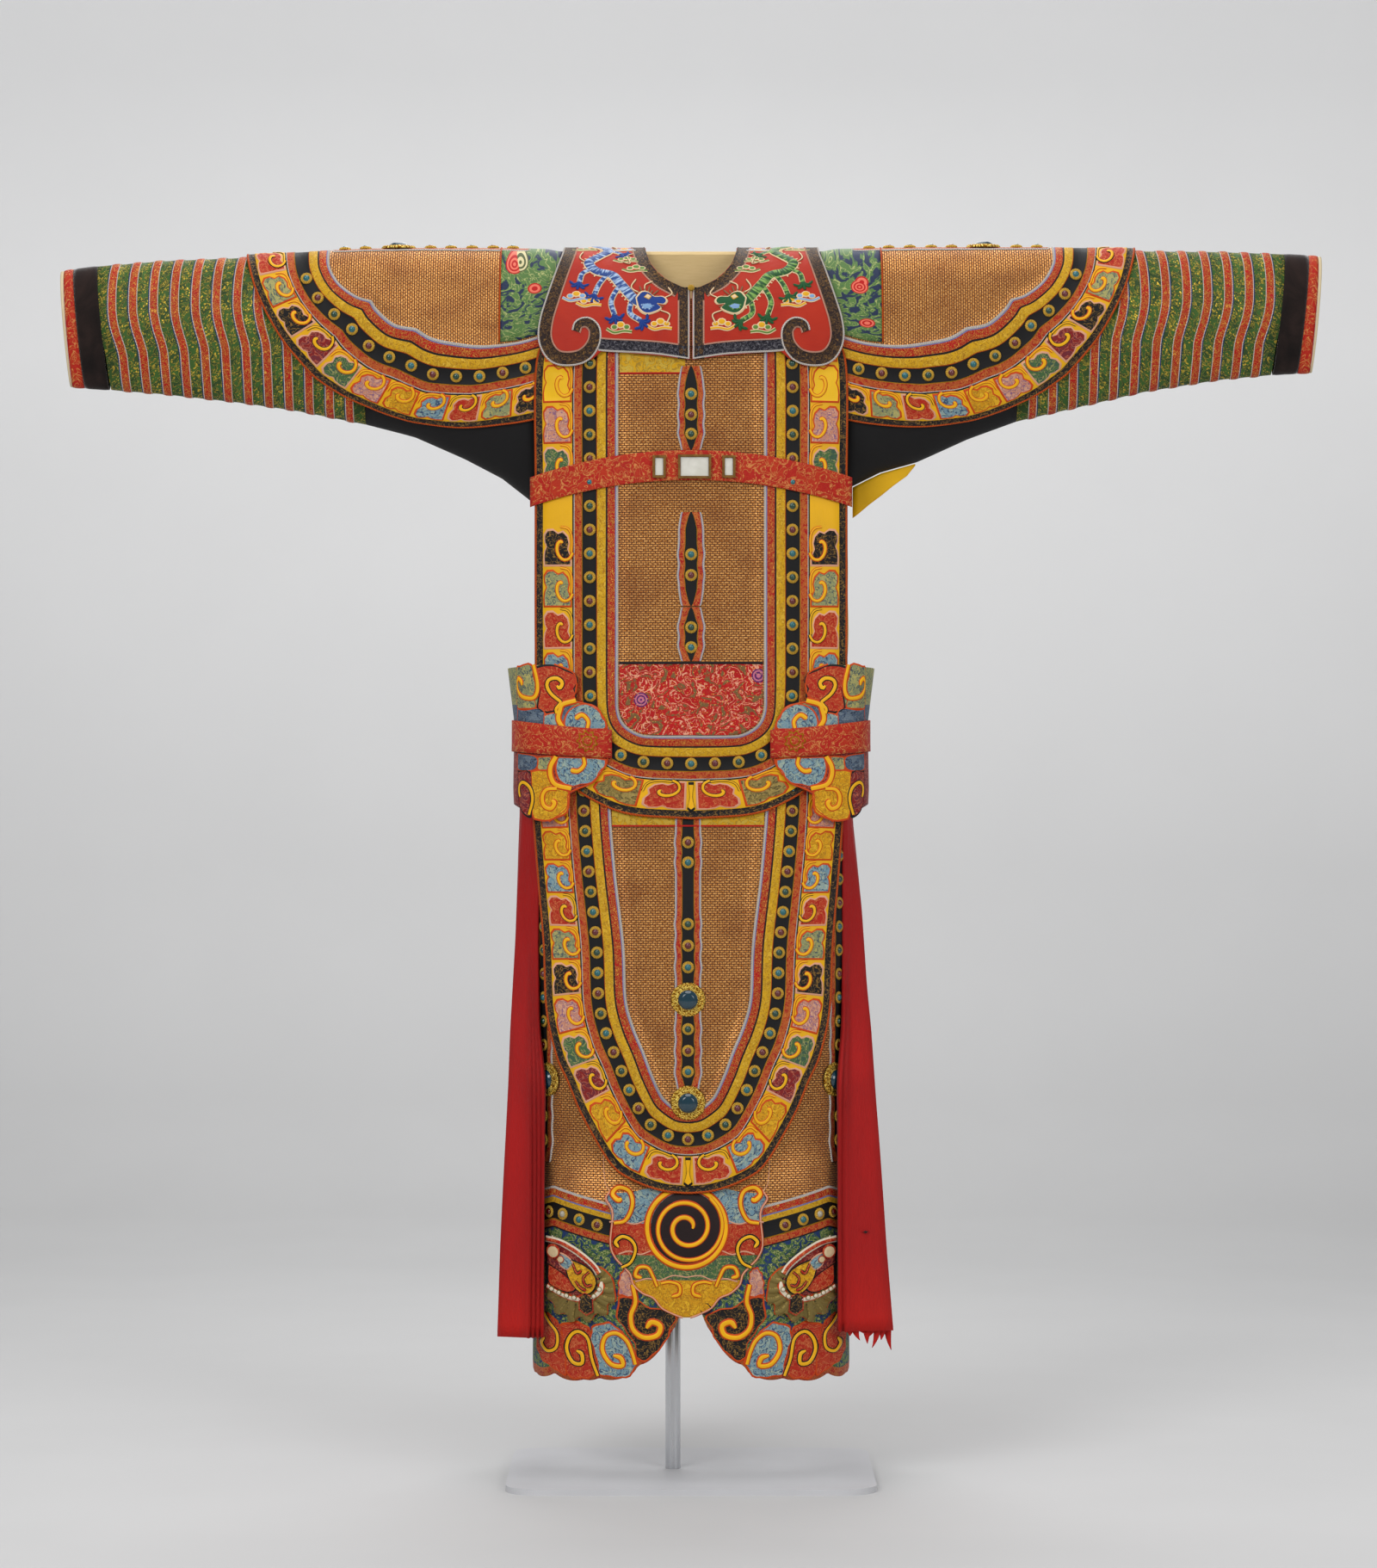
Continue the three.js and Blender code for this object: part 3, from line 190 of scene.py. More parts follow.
# Painted light: the paper is painted lighter with height, from pale grey on the floor to near white high up,
# with a little random tone.
painted_light_by_height = finish.axis(2).from_to(0, 1.9) * 0.9 + finish.noise(3, 3) * 0.1
mesh.materials.append(finish.done(finish.mix(painted_light_by_height, tint(0.785, 0.785, 0.785), tint(0.98, 0.98, 0.98))))
paper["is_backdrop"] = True

lamps = [("key", (-2.6, -4.2, 3.4), 2.6, 120), ("fill", (3.0, -4.0, 2.4), 2.6, 70),
    ("top", (0, -0.8, 4.4), 3.0, 56), ("back", (0, 1.6, 3.8), 2.2, 50)]
for name, place, size, power in lamps:
    light = bpy.data.lights.new(name, "AREA")
    light.shape, light.size, light.energy = "DISK", size, power
    lamp = bpy.data.objects.new(name, light)
    lamp.location = place
    lamp.rotation_euler = (Vector((0, 0, 1.0)) - Vector(place)).to_track_quat("-Z", "Y").to_euler()
    bpy.context.collection.objects.link(lamp)
world = bpy.data.worlds.new("air")
world.use_nodes = True
world.node_tree.nodes["Background"].inputs[0].default_value = (0.97, 0.98, 1, 1)
world.node_tree.nodes["Background"].inputs[1].default_value = 0.3
bpy.context.scene.world = world

lens = bpy.data.cameras.new("camera")
lens.sensor_fit, lens.sensor_height, lens.sensor_width, lens.lens = "VERTICAL", 36, 36, 95.3
bpy.context.scene.view_settings.view_transform = "Standard"
camera = bpy.data.objects.new("camera", lens)
camera.location, camera.rotation_euler = (-0.0034, -5.5, 0.914), (math.pi / 2, 0, 0)
bpy.context.collection.objects.link(camera)
bpy.context.scene.camera = camera

# ---- Stand ----
# A painted steel plate carries a bright steel pole and a cotton-covered arm board. They keep
# the shapes that the frame gives them.


def dress(node, material):
    """Gives a node of the frame its finish."""
    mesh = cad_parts[node].data
    mesh.materials.clear()
    mesh.materials.append(material)


paint = Finish("plate_paint", along="Object", Roughness=0.55)
dust = paint.noise(14, 4)
dress("stand_base", paint.done(paint.mix(dust, tint(0.76, 0.76, 0.77), tint(0.81, 0.81, 0.82)),
    rough=0.45 + 0.2 * dust, bump=paint.noise(900, 2), depth=0.0001))
steel = Finish("bright_steel", along="Object", Metallic=1.0, Base_Color=(0.62, 0.63, 0.65, 1))
brushed = steel.noise((900, 900, 14), 3)
dress("stand_pole", steel.done(rough=0.2 + 0.2 * brushed, bump=brushed, depth=0.00005))
cotton = Finish("board_cotton", along="Object", Roughness=0.9, Sheen_Weight=0.1)
x, y, z = (cotton.axis(n) for n in range(3))
weave = (x * 5200).wave() * (z * 5200).wave()
slub = cotton.noise((60, 60, 700), 3)
colour = cotton.mix(slub, tint(0.76, 0.66, 0.48), tint(0.83, 0.74, 0.57))
dress("stand_arm", cotton.done(colour, bump=weave * 0.5 + slub, depth=0.0002))

# ---- Front and back panels ----
# Stiff appliqué panels of padded silk, laid in bands from the orange piping at the edge to the
# couched gold ground: yellow satin with cloud cells, black satin with set stones, a gold vine
# on red and a white cord. Front and back are sewn together along the shoulder.

SHOULDER_TOP, SHOULDER_RISE = 1461, 146
TORSO = {"z": (140, 450, 700, 900, 1300, 1400, 1461), "half": (240, 240, 240, 240, 242, 250, 260),
    "deep": (130, 118, 105, 92, 92, 92, 92)}
BOARD_LIFT = 8  # the base plate's thickness, under every height


def track(form, name, at, key="z"):
    return np.interp(at, form[key], form[name])


def boxed(share, power):
    return np.maximum(1 - np.abs(share) ** power, 0) ** (1 / power)


def shoulder_angle(z):
    above = (np.asarray(z, float) - SHOULDER_TOP) / SHOULDER_RISE
    return np.where(above > 0, np.arccos(np.clip(above, -1, 1)), math.pi / 2 - above)


def torso(x, angle, lift):
    """A point of the torso's form in millimetres; a negative angle is at the back."""
    x, angle, lift = np.broadcast_arrays(*(a for a in (x, angle, lift)))
    turn = np.abs(angle)
    over = turn < math.pi / 2
    z = np.where(over, SHOULDER_TOP + (SHOULDER_RISE + lift) * np.cos(turn),
        SHOULDER_TOP - SHOULDER_RISE * (turn - math.pi / 2))
    deep = (track(TORSO, "deep", z) + lift) * np.where(over, np.sin(turn), 1)
    y = deep * boxed(x / (track(TORSO, "half", z) + lift), 2.5)
    return np.stack([x, np.where(angle > 0, -y, y), z], -1)


def smooth(rows, turn, corners=()):
    """Places on the smooth line through a table's rows, at row numbers."""
    rows, turn = np.asarray(rows, float), np.asarray(turn, float)
    last = len(rows) - 1
    index = np.clip(np.floor(turn).astype(int), 0, last - 1)
    before, start, end, after = (rows[np.clip(index + n, 0, last)] for n in (-1, 0, 1, 2))
    broken = np.zeros(last + 1, bool)
    broken[[0, last, *corners]] = True
    chord = end - start
    leave = np.where(broken[index][..., None], chord, (end - before) / 2) - chord
    arrive = np.where(broken[index + 1][..., None], chord, (after - start) / 2) - chord
    part = (turn - index)[..., None]
    return start + chord * part + part * (1 - part) * ((1 - part) * leave - part * arrive)


def run_along(line):
    """The length along a line of places, from its start."""
    return np.concatenate([[0], np.cumsum(np.linalg.norm(np.diff(line, axis=0), axis=1))])


class Panel:
    """A bordered panel. Places on it are a length along the border, from the border's middle,
    and a distance across it from the outer edge; past the cord, one unit is a hundredth of the
    way to the spine."""

    width = 107

    def __init__(self, place, last, centre=55):
        self.place = place
        self.turns = np.linspace(0, last, 900)
        self.lengths = run_along(place(self.turns, 1, centre, 0))
        self.reach = self.lengths[-1]

    def turn(self, along):
        return np.interp(np.abs(along), self.lengths, self.turns)

    def at(self, along, across, lift):
        along = np.asarray(along, float)
        return self.place(self.turn(along), np.where(along < 0, -1, 1), across, lift)

    def spaced(self, across, gap, start=0.0, end=1e9):
        """Lengths along the border at which places on one row lie evenly apart."""
        along = np.linspace(0, self.reach, 600)
        run = run_along(self.at(along, across, 0))
        return np.interp(np.arange(start, min(end, run[-1]), gap), run, along)


def torso_panel(rows, middle, lifts, front):
    def place(turn, side, across, lift):
        turn, side, across, lift = np.broadcast_arrays(turn, side, across, lift)
        cord_x, cord_z, edge_x, edge_z, spine_z = np.moveaxis(smooth(rows, turn), -1, 0)
        part, inward = np.clip(across / 107, 0, 1), np.clip((across - 107) / 100, 0, 1)
        x = (edge_x + (cord_x - edge_x) * part) * (1 - inward)
        z = edge_z + (cord_z - edge_z) * part
        z = z + (spine_z - z) * inward
        return torso(middle + side * x, front * shoulder_angle(z), track(lifts, "lift", z) + 2.2 + lift)

    return Panel(place, len(rows) - 1)


class Sewing:
    """A piece in the making: sheets of points are laid into it, each face with its finish."""

    def __init__(self, name, finishes):
        self.name, self.finishes = name, finishes
        self.mesh = bmesh.new()
        self.run = self.mesh.loops.layers.uv.new("run")

    def lay(self, points, run=None, parts=0, heart=None):
        """points is a table of places in millimetres; run, the same in metres on the cloth."""
        points = np.asarray(points, float)
        run = points[..., [0, 2]] / 1000 if run is None else np.asarray(run, float)
        rows, columns = points.shape[:2]
        grid = bmesh.ops.create_grid(self.mesh, x_segments=columns - 1, y_segments=rows - 1, size=1)
        verts = grid["verts"]
        spot = {}
        for vert in verts:
            column = round((vert.co.x + 1) / 2 * (columns - 1))
            row = round((vert.co.y + 1) / 2 * (rows - 1))
            spot[vert] = (row, column)
        faces = {face for vert in verts for face in vert.link_faces}
        names = list(self.finishes)
        for vert, (row, column) in spot.items():
            x, y, z = points[row, column]
            vert.co = (x / 1000, y / 1000, (z + BOARD_LIFT) / 1000)
        for face in faces:
            corners = [spot[vert] for vert in face.verts]
            low = min(row for row, _ in corners)
            part = parts[low] if isinstance(parts, (list, tuple)) else parts
            face.material_index = names.index(part) if isinstance(part, str) else part
            face.smooth = True
            for loop, corner in zip(face.loops, corners):
                loop[self.run].uv = run[corner]
        self.face_out(points, faces, spot, heart)

    def face_out(self, points, faces, spot, heart):
        """Turns the sheet's faces away from the body's middle."""
        rows, columns = points.shape[:2]
        row, column = (rows - 1) // 2, (columns - 1) // 2
        here = points[row, column]
        side = np.cross(points[row, column + 1] - here, points[row + 1, column] - here)
        inner = heart if heart is not None else (0.55 * here[0], 0, min(here[2], 1450))
        outward = np.dot(side, here - np.array(inner, float)) > 0
        face = next(f for f in faces if {spot[v] for v in f.verts} == {
            (row, column), (row, column + 1), (row + 1, column), (row + 1, column + 1)})
        face.normal_update()
        agrees = np.dot(np.array(face.normal), side) > 0
        if agrees != outward:
            bmesh.ops.reverse_faces(self.mesh, faces=list(faces))

    def done(self, slot, replaces=(), thick=0.0):
        """The finished piece, riding on the stand."""
        bmesh.ops.remove_doubles(self.mesh, verts=self.mesh.verts, dist=0.00001)
        mesh = bpy.data.meshes.new(self.name)
        self.mesh.to_mesh(mesh)
        self.mesh.free()
        for material in self.finishes.values():
            mesh.materials.append(material)
        piece = bpy.data.objects.new(self.name, mesh)
        bpy.context.collection.objects.link(piece)
        if thick:
            wall = piece.modifiers.new("wall", "SOLIDIFY")
            wall.thickness, wall.offset = thick / 1000, -1
        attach(piece, "root")
        if replaces:
            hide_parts(*([replaces] if isinstance(replaces, str) else replaces))
        return piece


def brocade(name, ground, figure, fleck=None, size=9.0, fill=0.52, gold=False):
    """Figured silk: a ground colour with drawn-out figures and small flecks, size in mm."""
    finish = Finish(name, Sheen_Weight=0.04)
    flow = finish.noise(1000 / size, 2.5, 1.6)
    inside = flow.from_to(fill + 0.02, fill + 0.05)
    contour = 1 - (flow - fill).size().from_to(0.014, 0.035)
    ripple = 1 - (finish.noise(1900 / size, 1, 0.8, (3, 5, 0)) - 0.5).size().from_to(0.012, 0.05)
    shade = finish.noise(24, 3)
    base = finish.mix(shade, tint(*ground, 0.8), tint(*ground, 1.12))
    second = tint(*(fleck or figure))
    colour = finish.mix(inside * 0.35 + ripple * 0.45, base, second)
    colour = finish.mix(contour * 0.85, colour, tint(*figure))
    weave = (finish.axis(0) * 7000).wave() * (finish.axis(1) * 7000).wave()
    bump = contour * 0.8 + inside * 0.4 + weave * 0.25 + shade
    return finish.done(colour, rough=0.5 + 0.15 * shade - 0.12 * contour, metal=contour * 0.6 if gold else None,
        bump=bump, depth=0.00035)


def satin(name, colour, rough=0.4, wear_and_highlight=None, crease=0.6):
    """Plain silk satin with soft creases, painted darker in their hollows and lighter on their ridges: painted
    shade and painted highlight. A colour given for wear takes the place of the lighter one and is wear and
    painted highlight together.
    """
    finish = Finish(name, Sheen_Weight=0.03)
    shade = finish.noise(18, 4, 0.5)
    slub = finish.noise((60, 1300, 1), 2)
    dark, light = tint(*colour, 0.72), tint(*colour, 1.15)
    base = finish.mix(shade, dark, tint(*wear_and_highlight) if wear_and_highlight else light)
    base = finish.mix(slub * 0.3, base, light)
    return finish.done(base, rough=rough + 0.2 * slub, bump=slub * 0.3 + shade * crease, depth=0.0008)


def cording(name, colour, pitch=2.2, rough=0.6, metal=0.0):
    """A twisted cord: strands cross its run at a slant."""
    finish = Finish(name, Roughness=rough, Metallic=metal)
    strands = ((finish.axis(0) * (6283 / pitch)) + (finish.axis(1) * 2200)).wave()
    stain = finish.noise(40, 3)
    base = finish.mix(stain, tint(*colour, 0.75), tint(*colour))
    # Painted shade: the grooves between the strands are painted at under half the cord's colour.
    groove_shaded_colour = finish.mix(strands.from_to(-1, -0.2), tint(*colour, 0.45), base)
    return finish.done(groove_shaded_colour, bump=strands, depth=0.0005)


def couched(name, upright=False):
    """Gold thread couched in staggered rows over brown silk."""
    finish = Finish(name, Sheen_Weight=0.1)
    turn = {"Rotation": (0, 0, math.pi / 2 if upright else 0)}
    place = finish.node("ShaderNodeMapping", {}, {"Vector": finish.place, **turn})
    bricks = {"Vector": place, "Scale": 1, "Brick Width": 0.0062, "Row Height": 0.003, "Mortar Size": 0.00062,
        "Mortar Smooth": 0.6, "Bias": 0.0}
    gap = finish.node("ShaderNodeTexBrick", {"offset": 0.5}, bricks, "Fac")
    stain = finish.noise(16, 4)
    glint = finish.noise(420, 2)
    thread = finish.mix(glint.from_to(0.35, 0.7), tint(0.62, 0.38, 0.18), tint(0.94, 0.72, 0.47))
    thread = finish.mix(stain.from_to(0.45, 0.75) * 0.6, thread, tint(0.52, 0.3, 0.17))
    colour = finish.mix(gap, thread, tint(0.3, 0.15, 0.09))
    return finish.done(colour, rough=0.42 + 0.3 * gap, metal=(1 - gap) * 0.45, bump=1 - gap, depth=0.0009)


def vine(name):
    """Red silk with a running gold scroll."""
    finish = Finish(name, Sheen_Weight=0.05)
    flow = finish.noise(210, 2, 2.2)
    curl = 1 - (flow - 0.5).size().from_to(0.014, 0.045)
    stain = finish.noise(30, 3)
    base = finish.mix(stain, tint(0.55, 0.1, 0.08), tint(0.72, 0.18, 0.12))
    colour = finish.mix(curl, base, tint(0.9, 0.68, 0.36))
    return finish.done(colour, rough=0.55 - 0.2 * curl, metal=curl * 0.4, bump=curl + stain, depth=0.0005)


BORDER_FINISHES = {
    "piping": cording("orange_piping", (0.8, 0.36, 0.13), 3.0),
    "dark": brocade("black_gold_brocade", (0.06, 0.05, 0.055), (0.58, 0.45, 0.27), (0.15, 0.12, 0.11),
                    7, 0.52, gold=True),
    "yellow": satin("yellow_satin", (0.86, 0.66, 0.08), 0.38),
    "line": satin("black_line", (0.06, 0.05, 0.06), 0.5),
    "white": cording("white_cord", (0.88, 0.85, 0.82), 2.4),
    "red": brocade("red_gold_brocade", (0.62, 0.13, 0.1), (0.78, 0.5, 0.28), None, 6, 0.5),
    "gold": cording("gold_cord", (0.82, 0.6, 0.25), 1.8, 0.4, 0.6),
    "black": satin("black_satin", (0.045, 0.04, 0.045), 0.5),
    "mustard": brocade("mustard_brocade", (0.8, 0.62, 0.2), (0.62, 0.42, 0.14), (0.88, 0.74, 0.36),
                       6, 0.53),
    "vine": vine("red_vine"),
    "grey_blue": satin("blue_line", (0.42, 0.44, 0.6), 0.5),
    "ground": couched("couched_gold"),
}

BANDS = [  # from the outer edge: where a row lies, how high it stands, and what lies up to the next
    (0.0, 0.0, "piping"), (1.0, 1.1, "piping"), (2.0, 0.9, "piping"), (2.7, 0.3, "dark"),
    (10.0, 0.3, "dark"), (10.9, 1.0, "yellow"), (20, 1.0, "yellow"), (29.5, 1.0, "yellow"),
    (39, 1.0, "yellow"), (48.6, 1.0, "line"), (50.4, 0.7, "white"), (51.5, 0.9, "red"),
    (60.5, 0.8, "gold"), (61.5, 0.9, "black"), (62.4, 0.3, "black"), (71, 0.3, "black"),
    (79.4, 0.3, "piping"), (80.2, 0.9, "mustard"), (91.2, 1.0, "line"), (93.4, 0.8, "vine"),
    (94.4, 1.2, "vine"), (103.0, 1.2, "grey_blue"), (104.2, 1.0, "white"), (105.3, 2.0, "white"),
    (106.4, 1.8, "white"), (107.0, 0.4, "ground")]
BODY_ROWS = [(0, 969, 0, 860, 1010), (45, 969, 75, 865, 1018), (66, 971, 118, 879, 1027),
    (85, 982, 160, 906, 1038), (94, 1000, 190, 948, 1052), (95, 1030, 203, 1010, 1076),
    (95, 1100, 205, 1100, 1120), (95, 1300, 205, 1300, 1290), (95, 1440, 205, 1440, 1420),
    (95, 1490, 193, 1490, 1466), (94, 1545, 165, 1545, 1506), (92, 1594, 150, 1600, 1538)]
BODY_LIFT = {"z": (960, 1090), "lift": (7.9, 0.4)}


def bands(sewing, panel, along):
    """The border's bands, as rows along it."""
    points = [panel.at(along, across, raised) for across, raised, _ in BANDS]
    run = np.array([np.stack([along, np.full_like(along, across)], -1) for across, _, _ in BANDS]) / 1000
    sewing.lay(points, run, [part for _, _, part in BANDS])


def bordered(name, panel, node):
    """The panel's own sheet: its bands, then the ground up to the spine."""
    sewing = Sewing(name, BORDER_FINISHES)
    along = np.linspace(-panel.reach, panel.reach, int(2 * panel.reach / 7.0) + 1)
    bands(sewing, panel, along)
    points = [panel.at(along, across, 0.4 if across == 107 else 0.2) for across in (107, 132, 157, 182, 207)]
    sewing.lay(points, None, "ground")
    sewing.done("brocade", node, 2.2)


front_body = torso_panel(BODY_ROWS, 0, BODY_LIFT, 1)
back_body = torso_panel(BODY_ROWS, 0, BODY_LIFT, -1)
bordered("front_panel", front_body, "front_body")
bordered("back_panel", back_body, "back_body")

# ---- Apron tongues ----
# A long rounded tongue hangs from the belt in front and behind, sewn in the same bands as the
# body panels, and narrows to a rounded end over the hem.

TONGUE_ROWS = [(0, 482, 0, 375, 520), (14, 485, 36, 379, 527), (29, 497, 74, 393, 536),
    (36, 507, 101, 413, 547), (47, 532, 138, 474, 567), (57, 559, 158, 520, 588), (71, 593, 173, 553, 612),
    (80, 629, 186, 612, 642), (83, 697, 190, 697, 704), (94, 790, 198, 790, 792), (101, 875, 204, 870, 872),
    (101, 935, 204, 935, 935)]
TONGUE_LIFT = {"z": (520, 600), "lift": (6, 3.1)}
front_tongue = torso_panel(TONGUE_ROWS, -4, TONGUE_LIFT, 1)
back_tongue = torso_panel(TONGUE_ROWS, 0, TONGUE_LIFT, -1)
bordered("front_tongue", front_tongue, "tongue_front")
bordered("back_tongue", back_tongue, "tongue_back")


# ---- Clouds, set stones and strips of the panels ----
# The yellow band is filled with padded clouds of figured silk, each with a stuffed yellow
# ribbon curling into it. Glass stones in gilt rims are sewn along the black satin, and a
# jewelled strip runs down the middle of the ground.


def patch(sewing, spot, outline, fill, edge, height=1.3, shift=(0, 0), rings=3):
    """A padded shape with a corded edge; outline is a closed line of places, in millimetres."""
    line = np.array([*outline, outline[0]], float)
    middle = line[:-1].mean(axis=0)
    radius = max(np.linalg.norm(line - middle, axis=1).mean(), 4)
    shares = [(0.0, 1.0), (0.6, 1.0), (1 - min(2.4 / radius, 0.3), 0.75), (1 - min(1.2 / radius, 0.15), 0.95),
        (1.0, 0.05)]
    if rings > 3:
        shares.insert(1, (0.35, 1.0))
    flat = np.array([middle + (line - middle) * share for share, _ in shares])
    lift = np.array([[height * high] * len(line) for _, high in shares])
    points = spot(flat[..., 0], flat[..., 1], lift)
    run = (flat + np.array(shift)) / 1000
    parts = [fill] * (len(shares) - 3) + [edge, edge]
    sewing.lay(points, run, parts)


def pairs(*numbers):
    """Places from their numbers, two by two."""
    return list(zip(numbers[::2], numbers[1::2]))


def rounded(points, count):
    """A smooth line through a few places."""
    return smooth(points, np.linspace(0, len(points) - 1, count))


def looped(points, count):
    return rounded([*points, points[0]], count)[:-1]


def circle(a, b, size, end, count, squash=1, start=0.0):
    return [(a + size * math.cos(w), b + squash * size * math.sin(w)) for w in np.linspace(start, end, count)]


def raised(spot, by):
    """The same places, standing higher."""
    return lambda a, b, lift: spot(a, b, lift + by)


def beside(line):
    """The direction to the left of a line, at each of its places."""
    along = np.gradient(line, axis=0)
    along /= np.linalg.norm(along, axis=1, keepdims=True)
    return np.stack([-along[:, 1], along[:, 0]], -1)


def ribbon(sewing, spot, path, width, fill, edge, height=1.6, low=0.3, count=18, blob=True, trim=0.46):
    """A stuffed ribbon with corded edges along a line of places."""
    line = rounded(path, count)
    side = beside(line)
    part = np.linspace(0, 1, count)
    half = width / 2 * np.ones(count)
    if blob:
        half = half * (0.8 + 0.35 * part) * np.sqrt(np.clip((1.02 - part) / 0.1, 0.04, 1))
    rows, lifts = [], []
    for out, high in ((-1, 0), (trim - 1, 0.75), (0, 1), (1 - trim, 0.75), (1, 0)):
        rows.append(line + side * (half * out)[:, None])
        lifts.append(np.full(count, low + height * high))
    rows = np.array(rows)
    points = spot(rows[..., 0], rows[..., 1], np.array(lifts))
    lengths = run_along(line)
    run = np.array([np.stack([lengths, np.full(count, out)], -1) for out in (0, 1, 2.5, 4, 5)]) / 1000
    sewing.lay(points, run, [edge, fill, fill, edge])


def stone(sewing, here, outward, glass, up=(0, 0, 1)):
    """A domed stone in a beaded rim, square to the cloth."""
    outward = np.array(outward, float) / np.linalg.norm(outward)
    first = np.cross(outward, up)
    first /= np.linalg.norm(first)
    second = np.cross(outward, first)
    turn = np.linspace(0, 2 * math.pi, 13)
    profile = [(1.0, 0.0, "rim"), (1.0, 0.16, "rim"), (0.82, 0.34, "rim"), (0.54, 0.22, glass),
        (0.46, 0.42, glass), (0.25, 0.57, glass), (0.0, 0.62, glass)]
    rows = []
    for share, lift, _ in profile:
        ring = np.cos(turn)[:, None] * first + np.sin(turn)[:, None] * second
        rows.append(np.array(here) + ring * share * 8.0 + outward * lift * 8.0)
    run = np.array([np.stack([turn * 0.0075, np.full(13, share * 0.0075)], -1) for share, _, _ in profile])
    sewing.lay(rows, run, [part for _, _, part in profile], heart=np.array(here) - outward * 20)


def square_to(spot, a, b):
    """A place and the direction square to it."""
    here, right, above = (spot(np.array(p), np.array(q), np.array(0.0)) for p, q in ((a, b), (a + 0.5, b),
        (a, b + 0.5)))
    out = np.cross(right - here, above - here)
    return here, out


CLOUD_EDGE = pairs(1, 0.02, 1, 0.35, 1, 0.7, 1, 1, 0.86, 1.0, 0.74, 0.97, 0.58, 0.88, 0.42, 0.93, 0.24, 0.87,
    0.11, 0.7, 0.16, 0.52, 0.06, 0.34, 0.07, 0.13, 0.2, 0.01, 0.38, 0.03, 0.5, 0.1, 0.62, 0.03, 0.8, 0.0)
CLOUD_HOOK = pairs(0.66, 1.02, 0.8, 0.92, 0.84, 0.72, 0.74, 0.55, 0.58, 0.48, 0.44, 0.51, 0.38, 0.6, 0.42, 0.68)
CLOUD_STEM = pairs(0.02, 0.6, 0.06, 0.84, 0.2, 0.97, 0.42, 1.0, 0.66, 0.98)


CLOUDS = {
    "pink": brocade("pink_cloud", (0.76, 0.54, 0.46), (0.46, 0.34, 0.5), (0.86, 0.7, 0.6)),
    "gold": brocade("yellow_cloud", (0.8, 0.58, 0.1), (0.62, 0.42, 0.12), (0.9, 0.74, 0.3), 8),
    "blue": brocade("blue_cloud", (0.46, 0.57, 0.62), (0.11, 0.18, 0.34), (0.7, 0.73, 0.62), 11),
    "red": brocade("red_cloud", (0.66, 0.19, 0.13), (0.8, 0.48, 0.32), (0.72, 0.32, 0.22), 8),
    "sage": brocade("sage_cloud", (0.55, 0.57, 0.42), (0.17, 0.24, 0.32), (0.74, 0.68, 0.42), 10),
    "black": brocade("black_cloud", (0.05, 0.045, 0.05), (0.58, 0.45, 0.26), (0.11, 0.09, 0.08), 9, gold=True),
    "green": brocade("green_cloud", (0.28, 0.4, 0.24), (0.62, 0.6, 0.4), (0.18, 0.24, 0.28)),
    "maroon": brocade("maroon_cloud", (0.5, 0.14, 0.13), (0.72, 0.42, 0.34), (0.26, 0.18, 0.24)),
    "khaki": brocade("khaki_cloud", (0.5, 0.43, 0.24), (0.26, 0.24, 0.18), (0.68, 0.6, 0.38)),
    "cream": satin("cream_edge", (0.82, 0.62, 0.52), 0.6),
    "ribbon": satin("yellow_ribbon", (0.9, 0.68, 0.12), 0.35),
    "stem": satin("yellow_stem", (0.84, 0.62, 0.05), 0.35),
    "edge": satin("orange_edge", (0.74, 0.3, 0.09), 0.5),
    "ink": satin("black_edge", (0.05, 0.05, 0.05), 0.5),
    "block": satin("yellow_block", (0.88, 0.7, 0.05), 0.32),
}


def cloud(sewing, spot, length, wide, fill, shift=0.0):
    """One cloud cell: its lobed end at 0, its straight end at its length, inner side at wide."""
    size = np.array((length, wide))
    red = fill in ("red", "maroon")
    edge = "cream" if fill in ("red", "maroon", "black", "green") else "edge"
    ribbon(sewing, spot, np.array(CLOUD_STEM) * size, 3.4, "ribbon", "ink" if red else "edge", 1.2, 0.1, 12,
        False)
    patch(sewing, spot, np.array(CLOUD_EDGE) * size, fill, edge, 1.5, (shift, 0))
    ribbon(sewing, spot, np.array(CLOUD_HOOK) * size, 6.4, "ribbon", "ink" if red else "edge", 1.9, 0.9, 16)


CLOUD_WIDTH = 37.0


def cloud_border(name, panel, fills, start, outward=False):
    """Cloud cells on both halves of a border, from the middle to its ends."""
    sewing = Sewing(name, CLOUDS)
    slide, shift = (61, 9) if outward else (53, 17)
    edges = np.linspace(start, panel.reach, len(fills) + 1)
    for side in (-1, 1):
        for number, fill in enumerate(fills):
            low, high = edges[number], edges[number + 1]

            def spot(a, b, lift):
                return panel.at(side * (low + a if outward else high - a), 11.2 + b, 1.0 + lift)

            if fill:
                cloud(sewing, spot, high - low - 0.6, CLOUD_WIDTH, fill, slide * number + shift * side)
    return sewing


def flame(sewing, spot):
    """The yellow flame between the two middle clouds."""
    outline = pairs(-0.1, 0, 0.0, -0.5, 0.25, -0.28, 0.5, -0.16, 0.75, -0.28, 1, -0.4, 1, 0.4, 0.75, 0.28, 0.5,
        0.16, 0.25, 0.28, 0.0, 0.5)
    patch(sewing, spot, np.array(outline) * (35, 9), "ribbon", "ink", 1.8)


